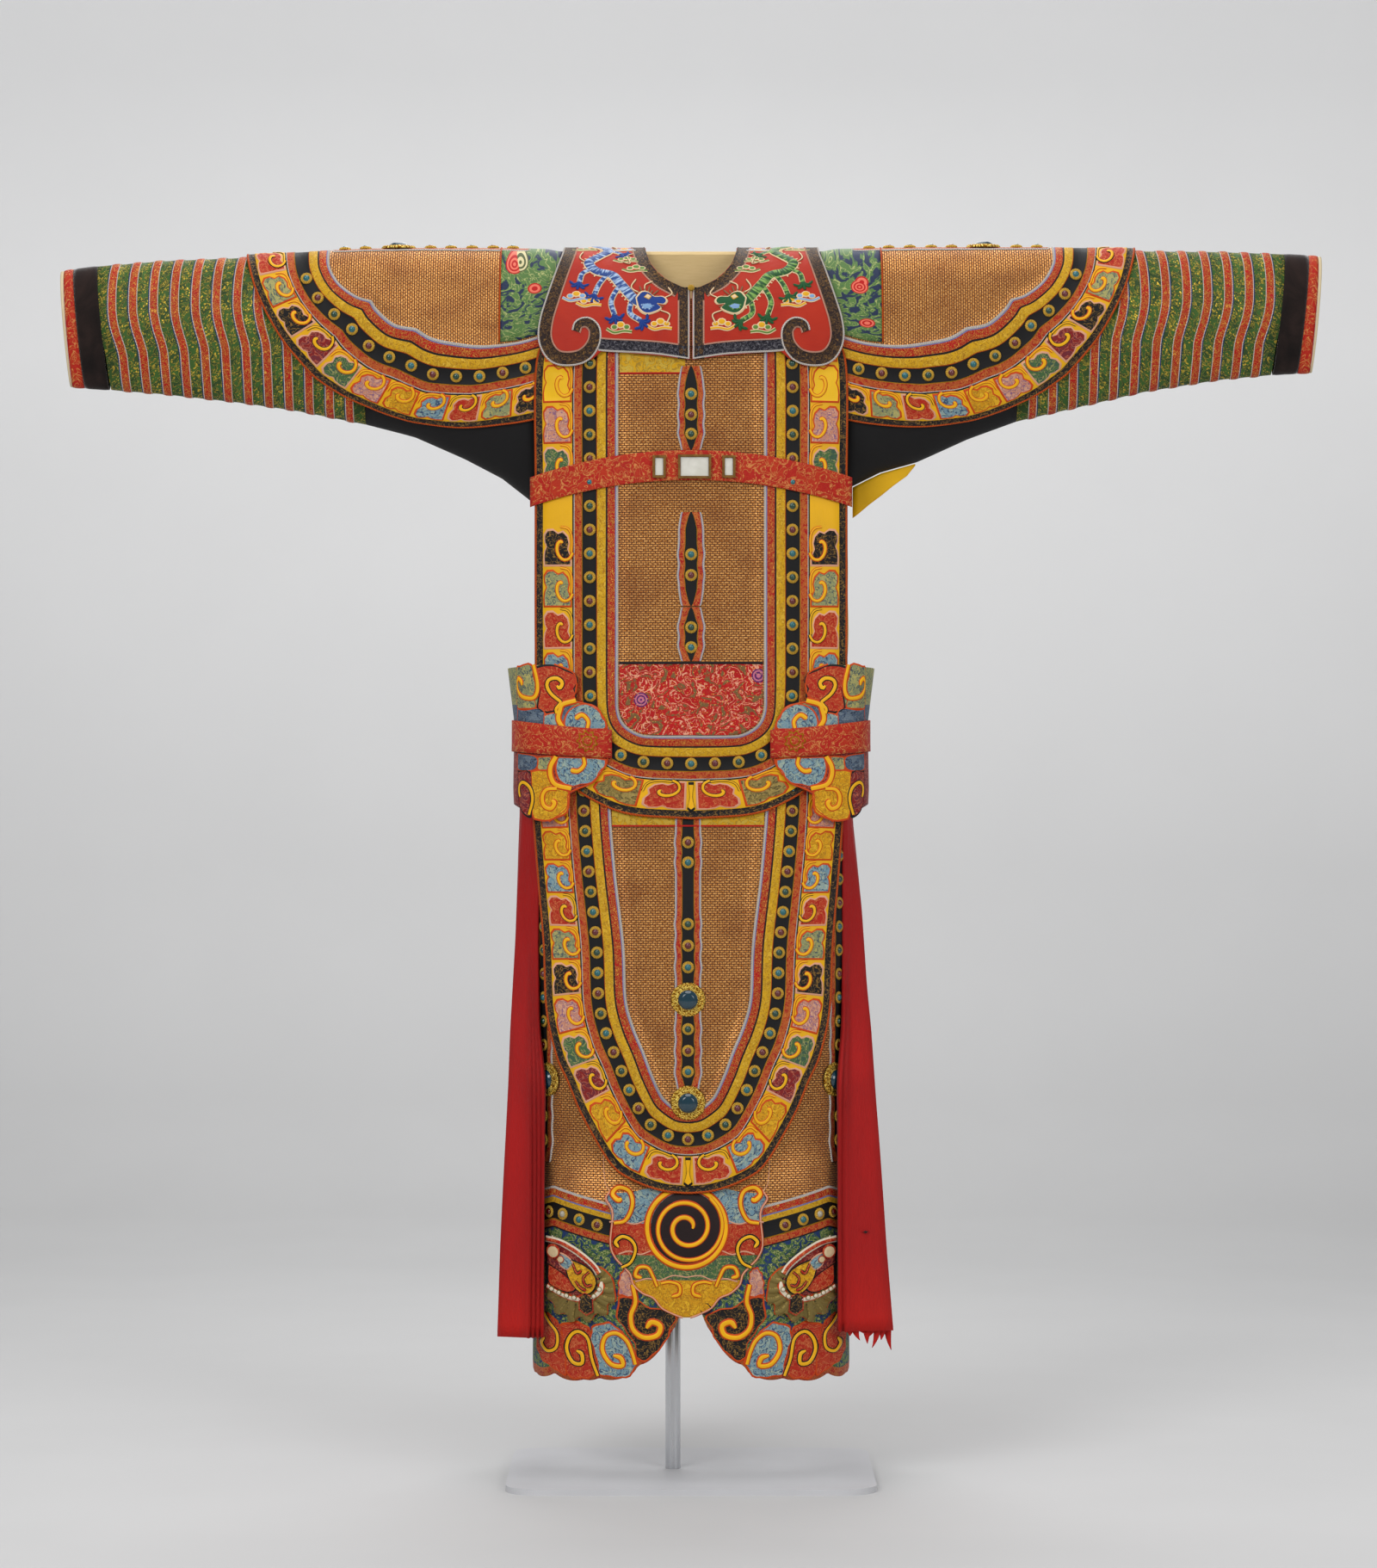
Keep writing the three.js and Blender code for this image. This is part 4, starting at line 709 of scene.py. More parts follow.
def gilt(name):
    """Worn gilt metal, notched round its rim."""
    finish = Finish(name, Metallic=0.25)
    notch = (finish.axis(0) * (24 / 0.0075)).wave()
    tarnish = finish.noise(700, 3)
    colour = finish.mix(tarnish, tint(0.9, 0.66, 0.22), tint(1.0, 0.88, 0.5))
    colour = finish.mix(notch.from_to(-1, -0.3), tint(0.6, 0.42, 0.16), colour)
    return finish.done(colour, rough=0.28 + 0.3 * tarnish, bump=notch + tarnish, depth=0.0006)


def glass(name, colour):
    finish = Finish(name, Roughness=0.08, Coat_Weight=0.6, Specular_IOR_Level=0.5)
    cloudy = finish.noise(260, 2)
    return finish.done(finish.mix(cloudy, tint(*colour, 0.7), tint(*colour, 1.3)), rough=0.08 + 0.12 * cloudy)


STONES = {
    "rim": gilt("gilt_rim"),
    "teal": glass("teal_glass", (0.02, 0.36, 0.38)),
    "red": glass("red_glass", (0.34, 0.06, 0.07)),
    "green": glass("green_glass", (0.03, 0.22, 0.15)),
    "pearl": glass("pearl_glass", (0.62, 0.6, 0.54)),
}
STONE_ORDER = ("teal", "red", "green")


def stones_along(sewing, panel, gap, start, end=1e9, across=71, order=STONE_ORDER):
    for number, along in enumerate(panel.spaced(across, gap, start, end)):
        for side in (-1, 1):
            if along == 0 and side > 0:
                continue

            def spot(a, b, lift, side=side, along=along):
                return panel.at(side * along + a, across + b, 0.3 + lift)

            here, out = square_to(spot, 0.0, 0.0)
            if out[1] * here[1] < 0 or (abs(here[1]) < 25 and out[2] < 0):
                out = -out
            stone(sewing, here, out, order[number % 3])


def middle_strip(sewing, spot, low, high, stones, pointed=22, half=18, wave=1.6):
    """A black strip between red and white lines, which swell at each stone."""
    z = np.linspace(low, high, max(12, int((high - low) / 3.5)))
    swell = np.zeros_like(z)
    for place in stones:
        swell = np.maximum(swell, np.exp(-((z - place) / 8) ** 2))
    taper = np.clip(np.minimum(z - low, high - z) / pointed, 0, 1) ** 0.7
    rows = [(-1, 0.4, "white"), (-0.95, 1.9, "white"), (-0.88, 1.6, "grey_blue"), (-0.84, 1.2, "red"),
        (-0.5, 1.1, "gold"), (-0.45, 1.2, "black"), (0, 0.9, "black"), (0.45, 1.2, "gold"), (0.5, 1.1, "red"),
        (0.84, 1.2, "grey_blue"), (0.88, 1.6, "white"), (0.95, 1.9, "white"), (1, 0.4, "white")]
    points, run = [], []
    for share, lift, _ in rows:
        width = half * abs(share) + wave * (swell - 0.5) * (abs(share) > 0.3)
        core = 0.12 + 0.88 * taper if abs(share) <= 0.5 else 0.75 + 0.25 * taper
        a = np.sign(share) * width * core
        points.append(spot(a, z, lift))
        run.append(np.stack([z, a + 71], -1) / 1000)
    sewing.lay(points, run, [part for _, _, part in rows])


def body_spot(front, middle=0.0, lifts=None, under=2.4):
    """Places on the ground of a body panel or tongue, by x and height."""
    def spot(a, b, lift):
        table = lifts or BODY_LIFT
        return torso(middle + a, front * shoulder_angle(b), track(table, "lift", b) + under + lift)
    return spot


BODY_CLOUDS = ("khaki", "black", "gold", "blue", "red", "sage", "black", None, "green", "pink", "block",
    "block", "gold", "sage")
TONGUE_CLOUDS = ("red", "blue", "gold", "maroon", "green", "pink", "black", "sage", "red", "blue", "gold",
    "pink", "sage")
BODY_STRIPS = [((1341, 1450), (1414, 1387, 1362)), ((1138, 1260), (1205, 1178)), ((1066, 1136), (1110, 1084))]
TONGUE_STRIPS = [((506, 880), (830, 804, 724, 696, 668, 588, 560, 533))]
PANELS = [("front_body", front_body, ("red",) + BODY_CLOUDS, 31, BODY_STRIPS, 1, 0, BODY_LIFT),
    ("back_body", back_body, ("red",) + BODY_CLOUDS, 31, [((1050, 1450), range(1085, 1440, 31))], -1, 0,
    BODY_LIFT), ("front_tongue", front_tongue, TONGUE_CLOUDS, 26.5, TONGUE_STRIPS, 1, -4, TONGUE_LIFT),
    ("back_tongue", back_tongue, TONGUE_CLOUDS, 26.5, TONGUE_STRIPS, -1, 0, TONGUE_LIFT)]
for name, panel, fills, gap, strips, front, middle, lifts in PANELS:
    sewing = cloud_border(f"{name}_clouds", panel, fills, 5.0)

    def base(a, b, lift, panel=panel):
        return panel.at(b, 12.5 + a, 1.0 + lift)

    flame(sewing, base)
    sewing.done("yellow_silk")
    sewing = Sewing(f"{name}_strip", BORDER_FINISHES)
    spot = body_spot(front, middle, lifts)
    for (low, high), places in strips:
        middle_strip(sewing, spot, low, high, list(places))
    sewing.done("black_satin")
    sewing = Sewing(f"{name}_stones", STONES)
    order = STONE_ORDER if "body" in name else ("red", "teal", "green")
    stones_along(sewing, panel, gap, 0, panel.reach * 0.93, order=order)
    number = 0
    for _, places in strips:
        for z in places:
            here, out = square_to(spot, 0.0, float(z))
            stone(sewing, here, (0, -front, 0.0), order[number % 3])
            number += 1
    sewing.done("gold")


def flowered(name):
    """Crimson brocade with purple flowers, cream scrolls and brown leaves."""
    finish = Finish(name, Sheen_Weight=0.05)
    leaf = finish.noise(60, 2.5, 1.8)
    spots = finish.cells(34)
    tone = finish.node("ShaderNodeSeparateColor", {}, {0: finish.cells(34, out="Color")})
    base = finish.mix(finish.noise(22, 3), tint(0.5, 0.05, 0.07), tint(0.74, 0.13, 0.13))
    colour = finish.mix(leaf.from_to(0.57, 0.6), base, tint(0.42, 0.32, 0.2))
    colour = finish.mix(1 - (leaf - 0.44).size().from_to(0.008, 0.03), colour, tint(0.84, 0.62, 0.52))
    bloom = (spots < 0.34) * (tone > 0.6)
    petal = finish.mix((spots * 55).wave() > 0, tint(0.32, 0.12, 0.34), tint(0.7, 0.42, 0.5))
    colour = finish.mix(bloom, colour, petal)
    glint = (finish.noise(500, 1) > 0.66) * 0.8
    colour = finish.mix(glint, colour, tint(0.86, 0.66, 0.36))
    return finish.done(colour, rough=0.6, bump=leaf * 1.4 + finish.noise(16, 3), depth=0.0016)


PATCH_FINISHES = {
    "flowered": flowered("flowered_crimson"), "line": BORDER_FINISHES["line"],
    "yellow": brocade("yellow_brocade", (0.8, 0.62, 0.14), (0.58, 0.46, 0.2), (0.72, 0.66, 0.36), 10, 0.5),
    "red": satin("red_line_silk", (0.66, 0.14, 0.1), 0.5)}


# Cloths let into the ground: crimson above the hem, and yellow strips under the edges.
sewing = Sewing("ground_patches", PATCH_FINISHES)
cord = pairs(0, 969.6, 45, 969.6, 66, 971.8, 85, 983, 90, 992, 93.6, 1004)
for front in (1, -1):
    x = np.linspace(-93.4, 93.4, 40)
    foot = np.interp(np.abs(x), *zip(*cord))
    spot = body_spot(front, 0, BODY_LIFT, 2.6)
    shares = np.linspace(0, 1, 14)
    rows = [spot(x, foot + (1062 - foot) * share, 0.7 + 0.5 * np.sin(x / 9 + 14 * share)) for share in shares]
    run = [np.stack([x, foot + (1062 - foot) * share], -1) / 1000 for share in shares]
    sewing.lay(rows, run, "flowered")
    rows = [spot(x, z, lift) for z, lift in ((1062, 0.3), (1062.5, 1.5), (1064.5, 1.5), (1064.9, 0.2))]
    sewing.lay(rows, None, "line")
    over = body_spot(front, -4 * (front > 0), TONGUE_LIFT, 2.6)
    x = np.linspace(-99, 99, 30)
    rows = [over(x, z, 0.6) for z in (852, 866, 884)]
    sewing.lay(rows, None, "yellow")
    rows = [over(x, z, lift) for z, lift in ((850.4, 0.2), (850.8, 1.4), (852.4, 1.4), (852.8, 0.2))]
    sewing.lay(rows, None, "red")
x = np.linspace(-93, -8, 16)
rows = [body_spot(1)(x, z, 0.7) for z in (1442, 1455, 1470)]
sewing.lay(rows, None, "yellow")
rows = [body_spot(1)(x, z, lift) for z, lift in ((1440, 0.2), (1440.4, 1.3), (1442, 1.3), (1442.4, 0.2))]
sewing.lay(rows, None, "red")
sewing.done("brocade")


def filigree(name):
    """Bright gilt wirework with small beads."""
    finish = Finish(name, Metallic=0.8)
    beads = finish.cells(620)
    colour = finish.mix(beads.from_to(0.2, 0.65), tint(1.0, 0.9, 0.52), tint(0.5, 0.33, 0.1))
    return finish.done(colour, rough=0.3 + 0.2 * beads, bump=1 - beads, depth=0.0012)


GREAT_STONES = {"wire": filigree("gilt_wirework"), "teal": glass("deep_teal_glass", (0.01, 0.19, 0.24)),
    "bead": gilt("gilt_beads")}


def great_stone(name, here, outward, node, radius=22.5, squash=1.0, up=(0, 0, 1)):
    """A faceted stone in a wide wirework rim ringed with beads."""
    sewing = Sewing(name, GREAT_STONES)
    outward = np.array(outward, float) / np.linalg.norm(outward)
    first = np.cross(outward, up)
    first /= np.linalg.norm(first)
    second = np.cross(outward, first) * squash
    turn = np.linspace(0, 2 * math.pi, 41)
    ring = np.cos(turn)[:, None] * first + np.sin(turn)[:, None] * second
    profile = [(1.0, 0.0, "wire"), (1.0, 0.9, "wire"), (0.97, 2.0, "wire"), (0.9, 2.6, "wire"),
        (0.82, 2.2, "wire"), (0.74, 3.2, "wire"), (0.66, 3.0, "wire"), (0.6, 4.2, "wire"), (0.57, 4.4, "wire"),
        (0.56, 3.8, "teal"), (0.53, 5.4, "teal"), (0.36, 7.6, "teal"), (0.34, 7.8, "teal"), (0.0, 8.4, "teal")]
    rows = np.array([here + ring * share * radius + outward * lift for share, lift, _ in profile])
    run = np.array([np.stack([turn * 0.02, np.full(41, share * 0.02)], -1) for share, _, _ in profile])
    sewing.lay(rows, run, [part for _, _, part in profile], heart=here - outward * 30)
    for number in range(24):
        angle = number / 24 * 2 * math.pi
        place = here + (math.cos(angle) * first + math.sin(angle) * second) * radius * 0.88 + outward * 2.2
        small = np.linspace(0, 2 * math.pi, 7)
        loop = np.cos(small)[:, None] * first + np.sin(small)[:, None] * np.cross(outward, first)
        bead = [place + loop * reach + outward * lift for reach, lift in ((1.5, 0), (1.3, 1.0), (0.0, 1.6))]
        sewing.lay(bead, np.array([np.stack([small * 0.001, small * 0 + k * 0.001], -1) for k in range(3)]),
            "bead", heart=place - outward * 9)
    sewing.done("jewel", node)


for name, z in (("tongue_jewel_upper", 626.0), ("tongue_jewel_lower", 493.0)):
    here, _ = square_to(body_spot(1, -4, TONGUE_LIFT, 2.7 if z > 600 else 3.7), 0.0, z)
    great_stone(name.replace("jewel", "stone"), here, (0, -1, 0), name)

# ---- Sleeves ----
# Wide sleeves lie flat along the arm board: black satin to the elbow, green brocade with
# raised red stripes to the cuff, then black velvet, a red brocade edge and a cream lining.

SLEEVE = {
    "x": (150, 200, 250, 300, 366, 432, 523, 600, 700, 786, 840),
    "top-1": (1607, 1608, 1609, 1609, 1609, 1608, 1604, 1601, 1597, 1590, 1583),
    "top1": (1607, 1608, 1609, 1610, 1610, 1610, 1610, 1610, 1609, 1606, 1603),
    "low-1": (1262, 1273, 1312, 1338, 1367, 1384, 1402, 1413, 1424, 1431, 1434),
    "low1": (1285, 1295, 1320, 1334, 1364, 1388, 1409, 1427, 1443, 1451, 1452),
    "deep": (62, 60, 56, 53, 49, 45, 41, 37, 33, 29, 27)}


SIDES = ((-1, "left"), (1, "right"))


def sleeve_point(hand, x, angle):
    top, low, deep = (track(SLEEVE, name, x, "x") for name in (f"top{hand}", f"low{hand}", "deep"))
    z = top - (top - low) * (1 - np.cos(angle)) / 2
    return np.stack([hand * x, -np.sin(angle) * deep * (1 + 0.2 * np.cos(angle)), z], -1)


def sleeve(hand, x, angle, lift):
    """A point over the sleeve: angle 0 on the fold, positive to the front."""
    x, angle, lift = np.broadcast_arrays(*(a for a in (x, angle, lift)))
    along = sleeve_point(hand, x + hand, angle) - sleeve_point(hand, x - hand, angle)
    round_ = sleeve_point(hand, x, angle + 0.01) - sleeve_point(hand, x, angle - 0.01)
    normal = np.cross(round_, along)
    normal /= np.linalg.norm(normal, axis=-1, keepdims=True)
    return sleeve_point(hand, x, angle) + normal * lift[..., None]


def sleeve_angle(hand, x, drop):
    top, low = track(SLEEVE, f"top{hand}", x, "x"), track(SLEEVE, f"low{hand}", x, "x")
    return np.arccos(np.clip(1 - 2 * drop / (top - low), -1, 1))


ROUND_THE_ARM = np.radians(sorted([*range(-180, 181, 6), -3, 3, -9, 9]))


def sleeve_stretch(name, hand, stations, heights, parts, finishes, slot, node, thick, wave=None):
    """A stretch of sleeve; stations are (at the fold, at the lower edge)."""
    sewing = Sewing(name, finishes)
    points, run = [], []
    share = (1 - np.cos(ROUND_THE_ARM)) / 2
    for (fold, low), height in zip(stations, heights):
        x = fold + (low - fold) * share
        if wave is not None:
            x = x + wave(hand, x, ROUND_THE_ARM)
        row = sleeve(hand, x, ROUND_THE_ARM, height)
        points.append(row)
        run.append(np.stack([x, run_along(row)], -1) / 1000)
    heart = (hand * (stations[0][0] + 5), 0, 1500)
    sewing.lay(points, run, parts, heart=heart)
    return sewing.done(slot, node, thick)


def velvet(name, colour):
    finish = Finish(name, Roughness=1.0, Sheen_Weight=1.0, Sheen_Roughness=0.3)
    pile = finish.noise(900, 2)
    crush_and_painted_sheen = finish.noise(26, 3, 0.6)
    # Painted sheen: where the crushed pile stands raised, the colour is painted up to more than twice as light.
    base = finish.mix(crush_and_painted_sheen.from_to(0.35, 0.75), tint(*colour), tint(*(2.2 * c for c in colour)))
    return finish.done(base, bump=pile * 0.4 + crush_and_painted_sheen, depth=0.001)


def green_silk(name):
    """Green brocade with bright gold flecks and dark leaves."""
    finish = Finish(name, Sheen_Weight=0.05)
    flow = finish.noise(95, 3, 1.8)
    leaf = flow.from_to(0.5, 0.54)
    vein = 1 - (flow - 0.52).size().from_to(0.006, 0.022)
    glint = finish.cells(260).from_to(0.22, 0.34)
    patch = finish.noise(40, 2).from_to(0.42, 0.6)
    base = finish.mix(finish.noise(20, 3), tint(0.14, 0.24, 0.1), tint(0.27, 0.4, 0.18))
    colour = finish.mix(leaf * 0.5, base, tint(0.12, 0.16, 0.1))
    gold = (vein * 0.8).most((1 - glint) * patch * 0.9)
    colour = finish.mix(gold, colour, tint(0.85, 0.72, 0.34))
    return finish.done(colour, rough=0.6 - 0.25 * gold, metal=gold * 0.6, bump=gold + leaf * 0.5, depth=0.0004)


SLEEVE_FINISHES = {
    "green": green_silk("green_gold_brocade"),
    "stripe": BORDER_FINISHES["vine"],
    "white": BORDER_FINISHES["white"],
    "blue": satin("navy_line", (0.1, 0.14, 0.34), 0.5),
}


def stripe_wave(hand, x, angle):
    """How far the stripes stray towards the cuff, by the drop below the fold."""
    top, low = track(SLEEVE, f"top{hand}", x, "x"), track(SLEEVE, f"low{hand}", x, "x")
    drop = (top - low) * (1 - np.cos(angle)) / 2
    stray = np.interp(drop, (0, 16, 33, 50, 68, 81, 94, 107, 120, 163, 200), (0, 3, 5, 6.3, 7, 5.8, 3.4, -0.2,
        -3, -3, -2))
    return stray * np.clip((x - 434) / 30, 0, 1) * np.clip((783 - x) / 20, 0, 1)


def striped_stations():
    stations, heights, parts = [(430.3, 430.3)], [1.5], ["green"]
    for number in range(12):
        fold, low = 452 + 28 * number, 452 + 27 * number
        for offset, height, part in ((-6.2, 1.5, "green"), (-6, 2.4, "white"), (-4.9, 2.4, "stripe"),
                (-2.4, 2.9, "stripe"), (2.4, 2.9, "stripe"), (4.9, 2.4, "white"), (6, 2.4, "blue"),
                (7.4, 1.7, "green"), (14, 1.5, "green")):
            stations.append((fold + offset, low + offset))
            heights.append(height)
            parts.append(part)
    return [*stations[:-1], (784.7, 769.7)], heights, parts


def even(start, end, count):
    shares = np.linspace(0, 1, count + 1)
    return [(start[0] + (end[0] - start[0]) * s, start[1] + (end[1] - start[1]) * s) for s in shares]


BLACK_VELVET = velvet("black_velvet", (0.075, 0.055, 0.05))
RED_BROCADE = brocade("red_belt_brocade", (0.66, 0.17, 0.12), (0.8, 0.55, 0.34), (0.7, 0.27, 0.18), 11, 0.5)
CREAM_SILK = satin("cream_silk", (0.8, 0.74, 0.62), 0.6)
for hand, side in SIDES:
    sleeve_stretch(f"upper_{side}", hand, even((200.2, 200.2), (429.8, 429.8), 14), [1.5] * 15, 0,
        {"satin": BORDER_FINISHES["black"]}, "black_satin", f"upper_sleeve_{side}", 1.5)
    stations, heights, parts = striped_stations()
    sleeve_stretch(f"striped_{side}", hand, stations, heights, parts, SLEEVE_FINISHES, "green_brocade",
        f"sleeve_{side}", 1.5, stripe_wave)
    sleeve_stretch(f"cuff_velvet_{side}", hand, even((785.2, 770.2), (816.8, 802.8), 6),
        [1.6, 2.4, 2.5, 2.5, 2.5, 2.4, 1.6], 0, {"velvet": BLACK_VELVET}, "velvet", f"cuff_band_{side}", 1.5)
    sleeve_stretch(f"cuff_red_{side}", hand, even((817.2, 803.2), (829.3, 818.8), 4), [1.5, 2.2, 2.3, 2.2, 1.5],
        0, {"red": RED_BROCADE}, "red_brocade", f"cuff_edge_{side}", 1.5)
    sleeve_stretch(f"cuff_cream_{side}", hand, even((829.6, 819.2), (834, 822), 2), [1.0, 1.2, 0.9], 0,
        {"cream": CREAM_SILK}, "cream_silk", f"cuff_lining_{side}", 1.0)

# ---- Shoulder caps ----
# A cap of the same bands lies over each shoulder and half way down the sleeve. Its ground is
# couched gold towards the hand and green damask towards the neck, on both sides of a black
# strip that runs along the fold.

CAP_ROWS = [(477, 0, 588, 0, 440), (475, 22, 574, 45, 430), (461, 45, 555, 85, 418), (438, 62, 534, 119, 400),
    (419, 68, 510, 148, 385), (410, 81, 492, 166, 372), (388, 99, 455, 190, 350), (360, 105, 415, 208, 326),
    (342, 116, 390, 217, 310), (320, 122, 360, 225, 292), (275, 128, 300, 233, 256), (229, 124, 235, 229, 208),
    (192, 114, 194, 222, 156)]
CAP_LIFT = {"x": (174, 191), "lift": (0.6, 3.5)}


def cap_panel(hand):
    def place(turn, side, across, lift):
        turn, side, across, lift = np.broadcast_arrays(turn, side, across, lift)
        cord_x, cord_drop, edge_x, edge_drop, spine_x = np.moveaxis(smooth(CAP_ROWS, turn, (4, 7)), -1, 0)
        part, inward = np.clip(across / 107, 0, 1), np.clip((across - 107) / 100, 0, 1)
        x = edge_x + (cord_x - edge_x) * part
        x = x + (spine_x - x) * inward
        edge_angle, cord_angle = sleeve_angle(hand, edge_x, edge_drop), sleeve_angle(hand, cord_x, cord_drop)
        angle = (edge_angle + (cord_angle - edge_angle) * part) * (1 - inward)
        return sleeve(hand, x, side * angle, track(CAP_LIFT, "lift", x, "x") + 2.2 + lift)

    return Panel(place, len(CAP_ROWS) - 1)


def damask(name):
    """Green silk damask with navy leaves, red flowers and cream lozenges."""
    finish = Finish(name, Sheen_Weight=0.05)
    leaf = finish.noise(55, 2.5, 1.9)
    spots = finish.cells(26)
    pick = finish.node("ShaderNodeSeparateColor", {}, {0: finish.cells(26, out="Color")})
    base = finish.mix(finish.noise(16, 3), tint(0.25, 0.36, 0.19), tint(0.38, 0.5, 0.29))
    colour = finish.mix(leaf.from_to(0.54, 0.57), base, tint(0.13, 0.17, 0.27))
    colour = finish.mix((1 - (leaf - 0.46).size().from_to(0.006, 0.02)) * 0.7, colour, tint(0.72, 0.72, 0.5))
    flower = spots < 0.3
    red = flower * (pick > 0.62)
    cream = flower * (pick < 0.25)
    petals = (spots * 60).wave() > 0
    colour = finish.mix(red, colour, finish.mix(petals, tint(0.66, 0.12, 0.12), tint(0.84, 0.45, 0.38)))
    colour = finish.mix(cream, colour, finish.mix(petals, tint(0.3, 0.33, 0.2), tint(0.8, 0.76, 0.6)))
    return finish.done(colour, rough=0.55, bump=leaf + petals * 0.3, depth=0.0004)


RIBBED = couched("couched_ribs", upright=True)
DAMASK = damask("green_damask")


def shoulder_cap(hand, side):
    panel = cap_panel(hand)
    finishes = {**BORDER_FINISHES, "ground": RIBBED, "damask": DAMASK}
    sewing = Sewing(f"cap_{side}", finishes)
    along = np.linspace(-panel.reach, panel.reach, 151)
    along = np.sort(np.concatenate([along, [-24, -16, -9, -4, 4, 9, 16, 24]]))
    bands(sewing, panel, along)
    inner = np.array([107, 118, 130, 142, 154, 166, 175, 184, 192, 200, 207.0])
    points = np.array([panel.at(along, across, 0.4) for across in inner])
    drops = np.sign(along) * (1607 - points[..., 2]) * 1.35
    sewing.lay(points, np.stack([points[..., 0], drops], -1) / 1000, "ground")
    x = np.linspace(170, 251, 14)
    angle = sleeve_angle(hand, x, np.interp(x, (170, 192, 229, 275), (106, 112, 122, 126)))
    lift = track(CAP_LIFT, "lift", x, "x") + 3.3
    rows = np.array([sleeve(hand, x, share * angle, lift) for share in np.linspace(-1, 1, 45)])
    run = np.stack([rows[..., 0], (1607 - rows[..., 2]) * np.linspace(-1.3, 1.3, 45)[:, None]], -1)
    sewing.lay(rows, run / 1000, "damask")
    rows = np.array([sleeve(hand, at, np.linspace(-1, 1, 45) * angle[-1], lift[-1] + high) for at,
        high in ((249.5, 0), (250, 1.1), (251.5, 1.1), (252, -0.8))])
    sewing.lay(rows, None, "piping")
    return panel, sewing.done("brocade", f"shoulder_cap_{side}", 2.2)


CAP_CLOUDS = ("red", "sage", "black", "maroon", "green", "pink", "gold", "blue", "red", "sage", "black")


def cap_spot(hand):
    """Places on the cap by x and the distance round the fold."""
    return lambda a, b, lift: sleeve(hand, a, b / 62.0, 3.5 + 2.4 + lift)


for hand, side in SIDES:
    panel, cap = shoulder_cap(hand, side)
    cloud_border(f"cap_{side}_clouds", panel, CAP_CLOUDS, 6, outward=True).done("yellow_silk")
    sewing = Sewing(f"cap_{side}_strip", BORDER_FINISHES)
    along_fold = cap_spot(hand)
    middle_strip(sewing, lambda a, b, lift: along_fold(b, a, lift), 212, 474, range(230, 470, 27), 4, 15.5, 0.8)
    sewing.done("black_satin")
    sewing = Sewing(f"cap_{side}_stones", STONES)
    stones_along(sewing, panel, 31, 62, panel.reach * 0.96)
    for number, x in enumerate((236, 262, 290, 318, 345, 431, 458)):
        here = along_fold(float(x), 0.0, 1.0)
        stone(sewing, here, (0, 0, 1), STONE_ORDER[number % 3], up=(0, 1, 0))
    sewing.done("gold")
    great_stone(f"shoulder_stone_{side}", along_fold(387.0, 0.0, 0.5), (0, 0, 1), f"shoulder_jewel_{side}",
        radius=23.0, squash=0.7, up=(0, 1, 0))

# ---- Leg panels ----
# Trouser-like panels wrap each hip from front to back, of couched gold on the sides and green
# brocade above a hem of padded cloud lobes.

HIP = {"z": (140, 450, 700, 863, 950), "half": (207, 205, 205, 205, 214), "deep": (130, 118, 105, 92.4, 92)}
HEM = [(13, 222, 0), (26, 196, 3), (67, 154, 9), (73, 145, 0), (119, 136, 6), (140, 133, 2), (187, 138, 5)]


def hanging(form, power, hand, turn, z, lift):
    """A point of a hanging form: turn 0 in front, half a turn at the back."""
    half, deep = track(form, "half", z) + lift, track(form, "deep", z) + lift
    x = half * np.maximum(np.sin(turn), 0) ** (2 / power)
    y = deep * np.abs(np.cos(turn)) ** (2 / power)
    x, y, z = np.broadcast_arrays(hand * x, np.where(turn < math.pi / 2, -y, y), z)
    return np.stack([x, y, z], -1)


def turn_at(form, power, x, z, lift):
    return np.arcsin(np.minimum(x / (track(form, "half", z) + lift), 1) ** (power / 2))


TURNS = np.linspace(0, math.pi, 121)


def hip(hand, arc, z, lift):
    """A point of a leg by its arc length from the front middle."""
    arc, z, lift = np.broadcast_arrays(*(a for a in (arc, z, lift)))
    turn = np.empty(arc.shape)
    for place in np.ndindex(arc.shape):
        turn[place] = turn_of_arc(arc[place], z[place])
    return hanging(HIP, 2.5, hand, turn, z, lift)


ARC_TABLES = {}


def turn_of_arc(arc, z):
    key = round(float(z))
    if key not in ARC_TABLES:
        ARC_TABLES[key] = run_along(hanging(HIP, 2.5, 1, TURNS, float(z), 0))
    return np.interp(arc, ARC_TABLES[key], TURNS)


def hem_height(arc):
    place = 187 - abs(arc - 187)
    row = max(1, next(n for n, (at, _, _) in enumerate(HEM) if at >= place - 1e-6))
    (low, low_z, _), (high, high_z, bulge) = HEM[row - 1], HEM[row]
    part = (place - low) / (high - low)
    return low_z + (high_z - low_z) * part - 4 * bulge * part * (1 - part)


def leg_green(name):
    finish = Finish(name, Sheen_Weight=0.05)
    flow = finish.noise(120, 2.5, 1.5)
    base = finish.mix(finish.noise(20, 3), tint(0.18, 0.28, 0.14), tint(0.3, 0.42, 0.22))
    colour = finish.mix(flow.from_to(0.53, 0.56), base, tint(0.13, 0.2, 0.36))
    colour = finish.mix((1 - (flow - 0.45).size().from_to(0.01, 0.03)) * 0.8, colour, tint(0.66, 0.66, 0.46))
    return finish.done(colour, rough=0.6, bump=flow, depth=0.0004)


